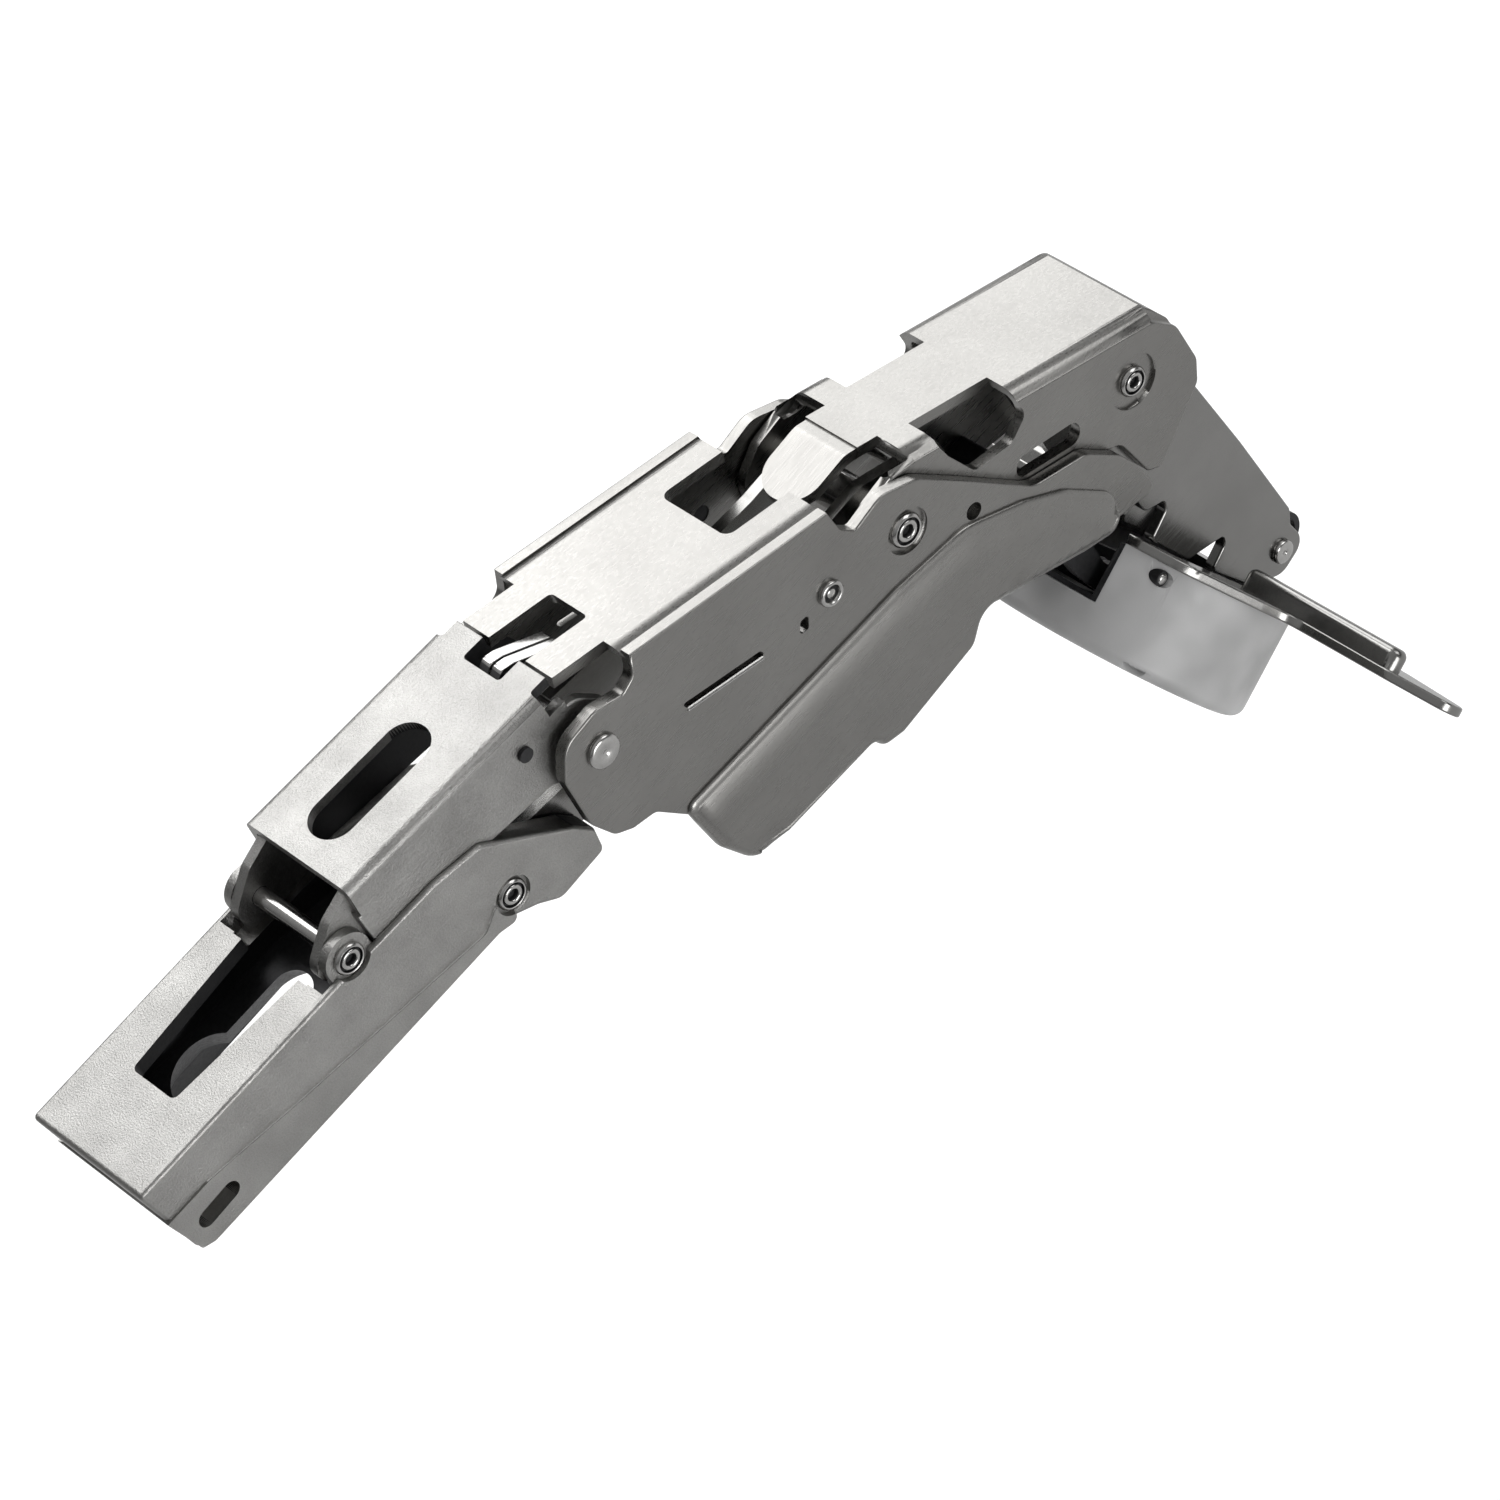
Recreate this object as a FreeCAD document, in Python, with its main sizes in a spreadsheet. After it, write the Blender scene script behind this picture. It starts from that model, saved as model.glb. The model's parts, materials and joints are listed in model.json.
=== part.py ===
import FreeCAD, Part
import Sketcher
import math
import os

from FreeCAD import Placement, Rotation, Vector

os.makedirs("parts", exist_ok=True)
doc = FreeCAD.newDocument("cup_hinge")
sheet = doc.addObject("Spreadsheet::Sheet", "sizes")
V = {}
row = [0]


def size(alias, value):
    """Writes one named size in the sheet and keeps it for the outlines."""
    row[0] += 1
    cell = "A" + str(row[0])
    sheet.set(cell, repr(float(value)))
    sheet.setAlias(cell, alias)
    V[alias] = float(value)
    return V[alias]


# Rear pivot above the seat, with the keyhole centre as the origin of the arm.
rear_x_mm = 17.0
size("rear_x", rear_x_mm)
rear_z_mm = 11.0
size("rear_z", rear_z_mm)
# The pivots, as steps from the rear pivot with the hinge fully open.
nose_x_mm = 35.3
size("nose_x", nose_x_mm)
nose_z_mm = -1.0
size("nose_z", nose_z_mm)
centre_x_mm = 51.9
size("centre_x", centre_x_mm)
centre_z_mm = 6.7
size("centre_z", centre_z_mm)
scissor_x_mm = 94.7
size("scissor_x", scissor_x_mm)
scissor_z_mm = -6.0
size("scissor_z", scissor_z_mm)
inner_x_mm = 118.0
size("inner_x", inner_x_mm)
inner_z_mm = -53.5
size("inner_z", inner_z_mm)
front_x_mm = 128.0
size("front_x", front_x_mm)
front_z_mm = -19.4
size("front_z", front_z_mm)
cuppin_x_mm = 135.9
size("cuppin_x", cuppin_x_mm)
cuppin_z_mm = -63.0
size("cuppin_z", cuppin_z_mm)
cup_x_mm = 125.6
size("cup_x", cup_x_mm)
cup_z_mm = -56.0
size("cup_z", cup_z_mm)
cup_turn_deg = 66.0
size("cup_turn", cup_turn_deg)
# Thicknesses and half widths of the nested channels, from the inside out.
play_mm = 0.1
size("play", play_mm)
lever_in_mm = 4.4
size("lever_in", lever_in_mm)
lever_thick_mm = 1.5
size("lever_thick", lever_thick_mm)
ear_in_mm = 5.0
size("ear_in", ear_in_mm)
ear_thick_mm = 1.5
size("ear_thick", ear_thick_mm)
plate_in_mm = 6.65
size("plate_in", plate_in_mm)
plate_thick_mm = 1.4
size("plate_thick", plate_thick_mm)
front_out_mm = 9.55
size("front_out", front_out_mm)
front_thick_mm = 1.4
size("front_thick", front_thick_mm)
mid_in_mm = 9.7
size("mid_in", mid_in_mm)
mid_thick_mm = 1.5
size("mid_thick", mid_thick_mm)
bulge_mm = 1.2
size("bulge", bulge_mm)
rear_out_mm = 8.6
size("rear_out", rear_out_mm)
rear_thick_mm = 1.3
size("rear_thick", rear_thick_mm)
arm_out_mm = 9.3
size("arm_out", arm_out_mm)
arm_wall_mm = 2.1
size("arm_wall", arm_wall_mm)
rail_proud_mm = 0.25
size("rail_proud", rail_proud_mm)
# Pins.
pin_rad_mm = 1.5
size("pin_rad", pin_rad_mm)
small_rad_mm = 1.15
size("small_rad", small_rad_mm)
head_rad_mm = 1.9
size("head_rad", head_rad_mm)
head_high_mm = 0.7
size("head_high", head_high_mm)
fit_mm = 0.05
size("fit", fit_mm)
loose_mm = 3.1
size("loose", loose_mm)
# Keyhole.
key_rad_mm = 5.0
size("key_rad", key_rad_mm)
key_slot_mm = 2.6
size("key_slot", key_slot_mm)
# Cup and flange.
bowl_rad_mm = 17.45
size("bowl_rad", bowl_rad_mm)
bowl_deep_mm = 13.0
size("bowl_deep", bowl_deep_mm)
bowl_wall_mm = 1.4
size("bowl_wall", bowl_wall_mm)
bowl_floor_mm = 1.3
size("bowl_floor", bowl_floor_mm)
flange_thick_mm = 1.2
size("flange_thick", flange_thick_mm)
wing_half_mm = 42.0
size("wing_half", wing_half_mm)
screw_half_mm = 22.5
size("screw_half", screw_half_mm)
screw_off_mm = 9.5
size("screw_off", screw_off_mm)
screw_rad_mm = 2.2
size("screw_rad", screw_rad_mm)
mouth_half_mm = 10.3
size("mouth_half", mouth_half_mm)
# Gate in the bowl wall, its lining, and the straps that pass through it.
gate_half_mm = 7.1
size("gate_half", gate_half_mm)
gate_low_mm = 7.6
size("gate_low", gate_low_mm)
liner_thick_mm = 0.6
size("liner_thick", liner_thick_mm)
strap_in_mm = 3.4
size("strap_in", strap_in_mm)
strap_thick_mm = 1.4
size("strap_thick", strap_thick_mm)
strap_rad_mm = 3.0
size("strap_rad", strap_rad_mm)
# Roundings of stamped, cast and raised edges.
stamp_soft_mm = 0.25
size("stamp_soft", stamp_soft_mm)
cast_soft_mm = 0.45
size("cast_soft", cast_soft_mm)
bulge_soft_mm = 1.05
size("bulge_soft", bulge_soft_mm)
rib_soft_mm = 0.95
size("rib_soft", rib_soft_mm)
doc.recompute()

RX = V["rear_x"]
RZ = V["rear_z"]


def world(points):
    """Moves outline points from the rear pivot to the seat frame."""
    return [(p[0] + RX, p[1] + RZ) + tuple(p[2:]) for p in points]


def rounded(points):
    """Turns corner points (a, b, radius) into a closed list of edges."""
    count = len(points)
    corners = []
    for i in range(count):
        a = points[i - 1]
        b = points[i]
        c = points[(i + 1) % count]
        r = b[2] if len(b) > 2 else 0.0
        pb = Vector(b[0], b[1], 0)
        da = Vector(a[0] - b[0], a[1] - b[1], 0)
        dc = Vector(c[0] - b[0], c[1] - b[1], 0)
        la = da.Length
        lc = dc.Length
        da.normalize()
        dc.normalize()
        ang = da.getAngle(dc)
        if r <= 0 or abs(math.pi - ang) < 0.02:
            corners.append((pb, pb, None))
            continue
        cut = min(r / math.tan(ang / 2), 0.49 * la, 0.49 * lc)
        r = cut * math.tan(ang / 2)
        mid = (da + dc).normalize()
        centre = pb + mid * (r / math.sin(ang / 2))
        arc_mid = centre - mid * r
        corners.append((pb + da * cut, pb + dc * cut, arc_mid))
    edges = []
    for i in range(count):
        start, end, arc_mid = corners[i]
        if arc_mid is not None:
            edges.append(Part.Arc(start, arc_mid, end))
        nxt = corners[(i + 1) % count][0]
        if (nxt - end).Length > 1e-6:
            edges.append(Part.LineSegment(end, nxt))
    return edges


def plane_of(body, role):
    for feature in body.Origin.OriginFeatures:
        if feature.Role == role:
            return feature
    raise ValueError(role)


def rim_edges(shape, level, axis):
    """Names of the edges that lie in one plane of a padded solid."""
    names = []
    for index, edge in enumerate(shape.Edges):
        middle = edge.valueAt((edge.FirstParameter + edge.LastParameter) / 2)
        spots = [v.Point for v in edge.Vertexes] + [middle]
        if all(abs(spot[axis] - level) < 0.001 for spot in spots):
            names.append("Edge%d" % (index + 1))
    return names


def pad(name, outline, length, base=(0, 0, 0), plane="XZ_Plane", turn=0.0, mid=False, rings=(),
    soft=None):
    """One body: an outline sketch, with round holes held by the sheet, padded by a sheet length.

    soft names a rounding from the sheet and the ends of the pad that get it.
    """
    body = doc.addObject("PartDesign::Body", name)
    sketch = body.newObject("Sketcher::SketchObject", name + "_outline")
    sketch.AttachmentSupport = [(plane_of(body, plane), "")]
    sketch.MapMode = "FlatFace"
    if outline:
        sketch.addGeometry(rounded(outline), False)
    for ring in rings:
        index = sketch.addGeometry(Part.Circle(Vector(ring[0], ring[1], 0), Vector(0, 0, 1), ring[2]),
            False)
        number = sketch.addConstraint(Sketcher.Constraint("Radius", index, ring[2]))
        if len(ring) > 3:
            sketch.setExpression("Constraints[%d]" % number, ring[3])
    feature = body.newObject("PartDesign::Pad", name + "_pad")
    feature.Profile = sketch
    feature.Length = 1.0
    feature.setExpression("Length", length)
    feature.Midplane = mid
    body.Tip = feature
    if soft:
        doc.recompute()
        axis = 1 if plane == "XZ_Plane" else 2
        box_now = feature.Shape.BoundBox
        ends = {"low": (box_now.YMin, box_now.ZMin)[axis - 1], "high": (box_now.YMax,
            box_now.ZMax)[axis - 1]}
        rim = []
        for end in soft[1]:
            rim += rim_edges(feature.Shape, ends[end], axis)
        rounding = body.newObject("PartDesign::Fillet", name + "_rounding")
        rounding.Base = (feature, rim)
        rounding.Radius = 0.1
        rounding.setExpression("Radius", soft[0])
        body.Tip = rounding
    body.Placement = Placement(Vector(*base), Rotation(Vector(0, 1, 0), turn))
    doc.recompute()
    sketch.Visibility = False
    return body


def rod(name, place, radius, low, high, turn_axis=(1, 0, 0), turn=90.0):
    """A round bar along the width: place is (x alias, z alias), low and high are expressions."""
    bar = doc.addObject("Part::Cylinder", name)
    bar.setExpression("Radius", radius)
    bar.setExpression("Height", "(" + high + ") - (" + low + ")")
    bar.Placement = Placement(Vector(0, 0, 0), Rotation(Vector(1, 0, 0), -90))
    bar.setExpression("Placement.Base.x", place[0])
    bar.setExpression("Placement.Base.z", place[1])
    bar.setExpression("Placement.Base.y", low)
    return bar


def fuse(name, parts):
    joined = doc.addObject("Part::MultiFuse", name)
    joined.Shapes = list(parts)
    joined.Refine = True
    return joined


def cut(name, base, tools):
    whole = tools[0] if len(tools) == 1 else fuse(name + "_tools", tools)
    result = doc.addObject("Part::Cut", name)
    result.Base = base
    result.Tool = whole
    result.Refine = True
    return result


def common(name, base, tool):
    result = doc.addObject("Part::Common", name)
    result.Base = base
    result.Tool = tool
    result.Refine = True
    return result


def box(name, low, high):
    """A plain block between two corners in the rear pivot's frame."""
    block = doc.addObject("Part::Box", name)
    block.Length = high[0] - low[0]
    block.Width = high[1] - low[1]
    block.Height = high[2] - low[2]
    block.Placement = Placement(Vector(low[0] + RX, low[1], low[2] + RZ), Rotation())
    return block


def pair(name, outline, inner, thick, rings=(), soft=None):
    """Two equal plates, one on each side of the middle plane, with their outer rims rounded."""
    near = pad(name + "_near", outline, "sizes." + thick, rings=rings, soft=(soft,
        ("low",)) if soft else None)
    near.setExpression("Placement.Base.y", "-sizes." + inner)
    far = pad(name + "_far", outline, "sizes." + thick, rings=rings, soft=(soft,
        ("high",)) if soft else None)
    far.setExpression("Placement.Base.y", "sizes." + inner + " + sizes." + thick)
    return near, far


def hole_pair(name, place, radius, out="20"):
    return rod(name, place, radius, "-" + out, out)


def capsule(first, last, radius):
    """Corner points of a slot with round ends, from one end centre to the other."""
    dx = last[0] - first[0]
    dz = last[1] - first[1]
    run = math.hypot(dx, dz)
    ax = dx / run * radius
    az = dz / run * radius
    r = radius * 0.999
    return [
        (first[0] - ax - az, first[1] - az + ax, r), (first[0] - ax + az, first[1] - az - ax, r),
        (last[0] + ax + az, last[1] + az - ax, r), (last[0] + ax - az, last[1] + az + ax, r)]


P1 = ("sizes.rear_x", "sizes.rear_z")
P2 = ("sizes.nose_x", "sizes.nose_z")
P3 = ("sizes.centre_x", "sizes.centre_z")
P4 = ("sizes.scissor_x", "sizes.scissor_z")
P5 = ("sizes.inner_x", "sizes.inner_z")
P6 = ("sizes.front_x", "sizes.front_z")
P7 = ("sizes.cuppin_x", "sizes.cuppin_z")
NODES = {}


def spot(dx, dz):
    """A place as a fixed step from the rear pivot."""
    return ("sizes.rear_x + (%r)" % dx, "sizes.rear_z + (%r)" % dz)


# Arm: one casting, open below, with a keyhole floor, a slotted top and two lugs.
arm_side = world([
    (-33.2, -1.0, 0.6), (-2.0, -1.0, 0.4), (12.0, -1.4, 3.0), (18.4, -2.6, 1.5), (28.2, -11.9, 1.5),
    (30.0, -14.6, 0.8),
    (29.6, -18.2, 0.8), (22.6, -18.6, 2.0), (20.0, -16.4, 2.0), (16.6, -14.4, 2.0),
    (-29.8, -14.4, 1.2), (-31.6, -13.6, 1.0)])
arm_block = pad("arm_block", arm_side, "2 * sizes.arm_out", mid=True, soft=("sizes.cast_soft",
    ("low", "high")))
rail_side = world([
    (-32.7, -7.0), (-26.2, -7.0, 4.0), (-13.0, -9.2, 10.0), (5.9, -11.9, 10.0), (13.4, -12.9, 1.5),
    (16.0, -11.0, 0.5),
    (18.0, -15.4, 1.5), (14.6, -14.4, 1.0), (-29.8, -14.4, 1.2), (-31.4, -13.7, 0.6)])
arm_rail = pad("arm_rail", rail_side, "2 * (sizes.arm_out + sizes.rail_proud)", mid=True)
lug_side = world([(-2.9, 0.0, 0.0), (-3.2, -5.6, 0.0), (6.4, -5.6, 0.0), (5.4, -4.7, 0.8),
    (3.0, -2.9, 1.0), (2.9, 0.0, 0.0)])
lug_in_mm = 7.4
size("lug_in", lug_in_mm)
lug_thick_mm = 1.2
size("lug_thick", lug_thick_mm)
lug_rad_mm = 2.95
size("lug_rad", lug_rad_mm)
doc.recompute()
lug_near, lug_far = pair("arm_lug", lug_side, "lug_in", "lug_thick")
disc_near = rod("lug_disc_near", P1, "sizes.lug_rad", "-sizes.lug_in - sizes.lug_thick",
    "-sizes.lug_in")
disc_far = rod("lug_disc_far", P1, "sizes.lug_rad", "sizes.lug_in", "sizes.lug_in + sizes.lug_thick")
arm_solid = fuse("arm_solid", [arm_block, arm_rail])
cavity_half_mm = 6.2
size("cavity_half", cavity_half_mm)
under_half_mm = 7.0
size("under_half", under_half_mm)
doc.recompute()
cavity = pad("arm_cavity", world([
    (-23.6, -7.0, 1.0), (-23.6, -3.0, 0.5), (-4.8, -3.0), (-4.8, 8.0), (40.0, 8.0), (40.0, -22.0),
    (12.4, -22.0),
    (12.4, -9.2, 0.8), (4.0, -7.6, 3.0), (-2.0, -7.0, 3.0)]), "2 * sizes.cavity_half", mid=True)
under = pad("arm_under", world([
    (-31.2, -16.0), (-31.2, -11.0, 1.0), (15.0, -11.0),
    (15.0, -16.0)]), "2 * sizes.under_half", mid=True)
lug_well = pad("arm_lug_well", world([
    (-4.6, -4.2, 0.5), (-4.6, 6.0), (31.0, 6.0), (31.0, -5.8), (22.0, -5.4, 3.0),
    (14.0, -4.6, 5.0)]), "2 * (sizes.lug_in + sizes.lug_thick + 0.05)", mid=True)
top_slot = pad("arm_top_slot", [
    (-22.8 + RX, -3.55, 0.8), (-4.6 + RX, -4.85), (-4.6 + RX, 4.85),
    (-22.8 + RX, 3.55, 0.8)], "8", base=(0, 0, RZ - 3.4),
    plane="XY_Plane")
key_slot = pad("arm_key_slot", [
    (0.0, -V["key_slot"]), (14.5, -V["key_slot"], 2.5), (14.5, V["key_slot"], 2.5),
    (0.0, V["key_slot"])], "8",
    base=(0, 0, RZ - 13.0), plane="XY_Plane")
key_round = doc.addObject("Part::Cylinder", "arm_key_round")
key_round.setExpression("Radius", "sizes.key_rad")
key_round.Height = 8.0
key_round.Placement = Placement(Vector(0, 0, RZ - 13.0), Rotation())
slot_ends = world([(-28.9, -10.85), (-25.3, -10.65)])
side_slot = pad("arm_side_slot", capsule(slot_ends[0], slot_ends[1], 1.2), "40", mid=True)
arm_cut = cut("arm_cut", arm_solid, [cavity, under, lug_well, top_slot, key_slot, key_round, side_slot])
arm_join = fuse("arm_join", [arm_cut, lug_near, lug_far, disc_near, disc_far])
arm_inner = rod("arm_inner_clear", P1, "sizes.lug_rad + 1.6", "-sizes.lug_in", "sizes.lug_in")
recess_p2a = rod("nose_recess_near", P2, "sizes.head_rad + 0.5", "-20", "-sizes.arm_out + 0.6")
recess_p2b = rod("nose_recess_far", P2, "sizes.head_rad + 0.5", "sizes.arm_out - 0.6", "20")
NODES["arm_body"] = cut("arm_body", arm_join, [
    hole_pair("arm_hole_rear", P1, "sizes.small_rad"), hole_pair("arm_hole_nose", P2, "sizes.pin_rad"),
    recess_p2a, recess_p2b,
    rod("rear_recess_near", P1, "sizes.head_rad + 0.6", "-20", "-(sizes.lug_in + sizes.lug_thick)"),
    rod("rear_recess_far", P1, "sizes.head_rad + 0.6", "sizes.lug_in + sizes.lug_thick", "20")])


def pin(name, place, shaft, half, head, head_low, head_high, dimple="0.45"):
    """A riveted pin: shaft, two upset heads and a hollow in each head."""
    bar = rod(name + "_shaft", place, shaft, "-(" + half + ")", half)
    near = rod(name + "_head_near", place, head, "-(" + head_high + ")", "-(" + head_low + ")")
    far = rod(name + "_head_far", place, head, head_low, head_high)
    body = fuse(name + "_body", [bar, near, far])
    hollow_a = rod(name + "_hollow_near", place, "(" + head + ") * 0.55", "-(" + head_high + ") - 1",
        "-(" + head_high + ") + " + dimple)
    hollow_b = rod(name + "_hollow_far", place, "(" + head + ") * 0.55",
        "(" + head_high + ") - " + dimple, "(" + head_high + ") + 1")
    return cut(name, body, [hollow_a, hollow_b])


lug_out = "sizes.lug_in + sizes.lug_thick"
NODES["rear_pin"] = pin("rear_pin", P1, "sizes.small_rad", lug_out, "sizes.head_rad", lug_out,
    lug_out + " + 0.6")
NODES["nose_rivet"] = pin("nose_rivet", P2, "sizes.pin_rad", "sizes.arm_out - 0.6", "sizes.head_rad",
    "sizes.arm_out - 0.6", "sizes.arm_out + 0.2")

# Release catch at the back of the arm, under the slotted top.
catch = pad("catch_block", world([
    (-31.15, -14.3), (-31.15, -12.3), (-29.9, -11.02), (-28.0, -11.02), (-27.2, -13.2, 0.6),
    (-29.0, -14.3)]), "2 * 5.2", mid=True)
NODES["release_catch"] = catch

# Rear link: a channel with a long slot, its cheeks pressed in round the rear pin.
A_TURN = 2.65
a_top = pad("rear_top", [
    (-V["rear_out"], -8.0), (-V["rear_out"], 0.0, 1.2), (V["rear_out"], 0.0, 1.2),
    (V["rear_out"], -8.0),
    (V["rear_out"] - V["rear_thick"], -8.0), (V["rear_out"] - V["rear_thick"], -V["rear_thick"], 0.3),
    (-V["rear_out"] + V["rear_thick"], -V["rear_thick"], 0.3),
    (-V["rear_out"] + V["rear_thick"], -8.0)],
    "31.4", base=(4.0 + RX, 0, 7.3 + RZ), plane="YZ_Plane", turn=A_TURN)
a_limit = pad("rear_limit", world([
    (3.4, 8.0), (34.6, 6.6), (36.6, 4.4, 2.0), (38.6, 0.0, 3.0), (40.6, -4.6, 4.0),
    (37.0, -10.0, 4.5), (31.0, -9.4, 4.0),
    (28.4, -4.7, 2.0), (14.7, -3.7, 12.0), (3.4, -2.3, 0.8)]), "2 * sizes.rear_out", mid=True)
rear_in_mm = 7.3
size("rear_in", rear_in_mm)
doc.recompute()
a_cheek_near, a_cheek_far = pair("rear_cheek", world([
    (3.4, 3.0), (32.0, 2.2), (36.4, 1.6, 3.0), (41.0, -4.4, 5.5), (35.0, -10.6, 5.5),
    (29.0, -5.4, 3.0), (14.7, -3.7, 12.0),
    (3.4, -2.3, 0.8)]), "rear_in", "rear_thick", soft="sizes.stamp_soft")
cheek_in_mm = 6.0
size("cheek_in", cheek_in_mm)
cheek_thick_mm = 1.34
size("cheek_thick", cheek_thick_mm)
doc.recompute()
a_inner_near, a_inner_far = pair("rear_inner", world([
    (-3.6, 0.6, 3.2), (0.6, 4.2, 2.5), (4.4, 5.6), (7.6, 5.4), (7.6, -2.6), (2.0, -3.0, 3.0),
    (-3.0, -2.4, 3.0)]), "cheek_in", "cheek_thick")
a_web_trim = common("rear_channel_trim", a_top, a_limit)
a_slot = pad("rear_slot", [
    (7.0 + RX, -3.0, 2.9), (23.6 + RX, -3.0, 2.9), (23.6 + RX, 3.0, 2.9),
    (7.0 + RX, 3.0, 2.9)], "6", base=(0, 0, RZ + 4.0),
    plane="XY_Plane")
a_notch = pad("rear_notch", [
    (32.2 + RX, -3.0, 0.5), (38.0 + RX, -3.0), (38.0 + RX, 3.0),
    (32.2 + RX, 3.0, 0.5)], "9", base=(0, 0, RZ + 2.0),
    plane="XY_Plane")
a_side_notch = pad("rear_side_notch", [
    (32.9 + RX, -7.2, 0.5), (38.0 + RX, -7.2), (38.0 + RX, -12.0),
    (32.9 + RX, -12.0)], "9", base=(0, 0, RZ + 2.6),
    plane="XY_Plane")
a_side_notch_b = pad("rear_side_notch_b", [
    (32.9 + RX, 12.0), (38.0 + RX, 12.0), (38.0 + RX, 7.2),
    (32.9 + RX, 7.2, 0.5)], "9", base=(0, 0, RZ + 2.6),
    plane="XY_Plane")
rod_rad_mm = 0.6
size("rod_rad", rod_rad_mm)
stud_rad_mm = 0.9
size("stud_rad", stud_rad_mm)
doc.recompute()
ROD_AT = spot(5.6, 3.4)
STUD_AT = spot(28.3, 1.6)
rod_end = "(sizes.cheek_in + sizes.cheek_thick)"
a_join = fuse("rear_join", [a_web_trim, a_cheek_near, a_cheek_far, a_inner_near, a_inner_far])
NODES["rear_link"] = cut("rear_link", a_join, [
    a_slot, a_notch, a_side_notch, a_side_notch_b,
    hole_pair("rear_bore", P1, "sizes.small_rad + sizes.fit"),
    hole_pair("rear_centre_bore", P3, "sizes.pin_rad + sizes.fit"),
    rod("rear_rod_bore", ROD_AT, "sizes.rod_rad", "-" + rod_end, rod_end),
    hole_pair("rear_boss_bore", STUD_AT, "sizes.stud_rad")])
NODES["link_rod"] = rod("link_rod", ROD_AT, "sizes.rod_rad", "-" + rod_end, rod_end)
NODES["stop_studs"] = fuse("stop_studs", [
    rod("stop_stud_near", STUD_AT, "sizes.stud_rad", "-sizes.rear_out - 0.5", "-sizes.rear_in"),
    rod("stop_stud_far", STUD_AT, "sizes.stud_rad", "sizes.rear_in", "sizes.rear_out + 0.5")])

# Two leaf strips that reach from the rear link into the slot of the centre channel.
for side, label in ((-1.3, "catch_strip_near"), (0.5, "catch_strip_far")):
    strip = pad(label, world([
        (25.6, 4.42), (31.6, 4.1, 1.5), (33.4, 5.7, 0.9), (35.0, 5.2, 1.0), (40.6, 1.6, 0.5),
        (40.9, 0.9, 0.3), (34.8, 4.5, 0.8), (33.6, 4.7, 0.5),
        (31.9, 3.2, 1.5), (25.6, 3.5)]), "1.5", base=(0, side + 0.75, 0))
    NODES[label] = strip

# Centre channel: rolled top, long shaped cheeks with a bulged lower zone, straps into the cup.
C_TURN = 15.95
mid_out = V["mid_in"] + V["mid_thick"]
c_top = pad("mid_top", [
    (-mid_out, -9.0), (-mid_out, 0.0, 3.0), (mid_out, 0.0, 3.0), (mid_out, -9.0),
    (mid_out - V["mid_thick"], -9.0), (mid_out - V["mid_thick"], -V["mid_thick"], 1.5),
    (-mid_out + V["mid_thick"], -V["mid_thick"], 1.5), (-mid_out + V["mid_thick"], -9.0)],
    "36.0", base=(35.9 + RX, 0, 5.1 + RZ), plane="YZ_Plane", turn=C_TURN)
cheek = world([
    (43.2, 2.9, 0.0), (42.2, 0.2, 1.5), (40.2, -0.6, 1.0), (36.5, 0.9, 2.5), (31.5, 0.4, 3.0),
    (29.4, -3.6, 3.0), (29.3, -11.6, 2.5),
    (30.9, -15.6, 2.0), (33.0, -17.1, 1.5), (36.1, -18.0, 1.5), (39.0, -22.4, 2.0), (41.0, -24.0),
    (72.4, -25.0, 8.0), (83.0, -26.4, 8.0),
    (90.5, -31.0, 6.0), (95.0, -34.8), (96.0, -42.0), (106.8, -44.4, 1.0), (106.2, -39.6, 1.0),
    (104.6, -35.6, 2.5),
    (101.0, -31.0, 2.5), (93.5, -28.0, 4.0), (86.6, -18.6, 6.0), (81.7, -12.2, 3.0),
    (77.0, -9.6, 3.0), (72.4, -10.4, 0.8), (71.0, -8.6, 1.0),
    (70.6, -5.0, 0.0)])
c_near, c_far = pair("mid_cheek", cheek, "mid_in", "mid_thick", soft="sizes.stamp_soft")
bulge_side = world([
    (38.9, -21.0, 1.6), (72.9, -22.0, 10.0), (83.7, -23.4, 8.0), (91.5, -28.0, 6.0),
    (96.5, -32.0, 5.0), (101.6, -38.6, 3.5),
    (100.6, -43.8, 2.2), (94.6, -41.6, 3.0), (84.4, -37.3, 3.0), (80.8, -34.9, 3.0),
    (77.6, -38.2, 2.2), (65.0, -39.4, 1.4), (62.2, -38.6, 1.3), (61.4, -36.7, 1.3),
    (47.5, -36.2, 4.0), (42.6, -35.8, 4.5),
    (39.9, -29.6, 3.0), (39.2, -24.0, 2.0)])
bulge_in_mm = 10.9
size("bulge_in", bulge_in_mm)
doc.recompute()
b_near, b_far = pair("mid_bulge", bulge_side, "bulge_in", "mid_thick", soft="sizes.bulge_soft")
strap_side = world([
    (94.4, -38.0, 1.0), (98.4, -38.0, 1.0), (99.2, -48.0, 3.0), (99.6, -55.0, 3.0), (104.0, -61.8, 1.0),
    (104.0, -64.5), (98.0, -64.5), (98.0, -60.4, 2.0), (95.9, -53.0, 3.0), (95.0, -46.0, 2.0)])
s_near, s_far = pair("mid_strap", strap_side, "strap_in", "strap_thick")
strap_end_near = rod("mid_strap_end_near", P5, "sizes.strap_rad",
    "-sizes.strap_in - sizes.strap_thick", "-sizes.strap_in")
strap_end_far = rod("mid_strap_end_far", P5, "sizes.strap_rad", "sizes.strap_in",
    "sizes.strap_in + sizes.strap_thick")
bridge = pad("mid_bridge", world([
    (94.4, -38.0, 0.8), (98.4, -38.0, 0.8), (98.8, -42.0, 0.8),
    (94.8, -42.0, 0.8)]), "2 * sizes.mid_in + 0.4", mid=True)
c_back_near = box("mid_back_near", (30.0, -13.0, -3.0), (42.9, -7.3, 9.0))
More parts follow.
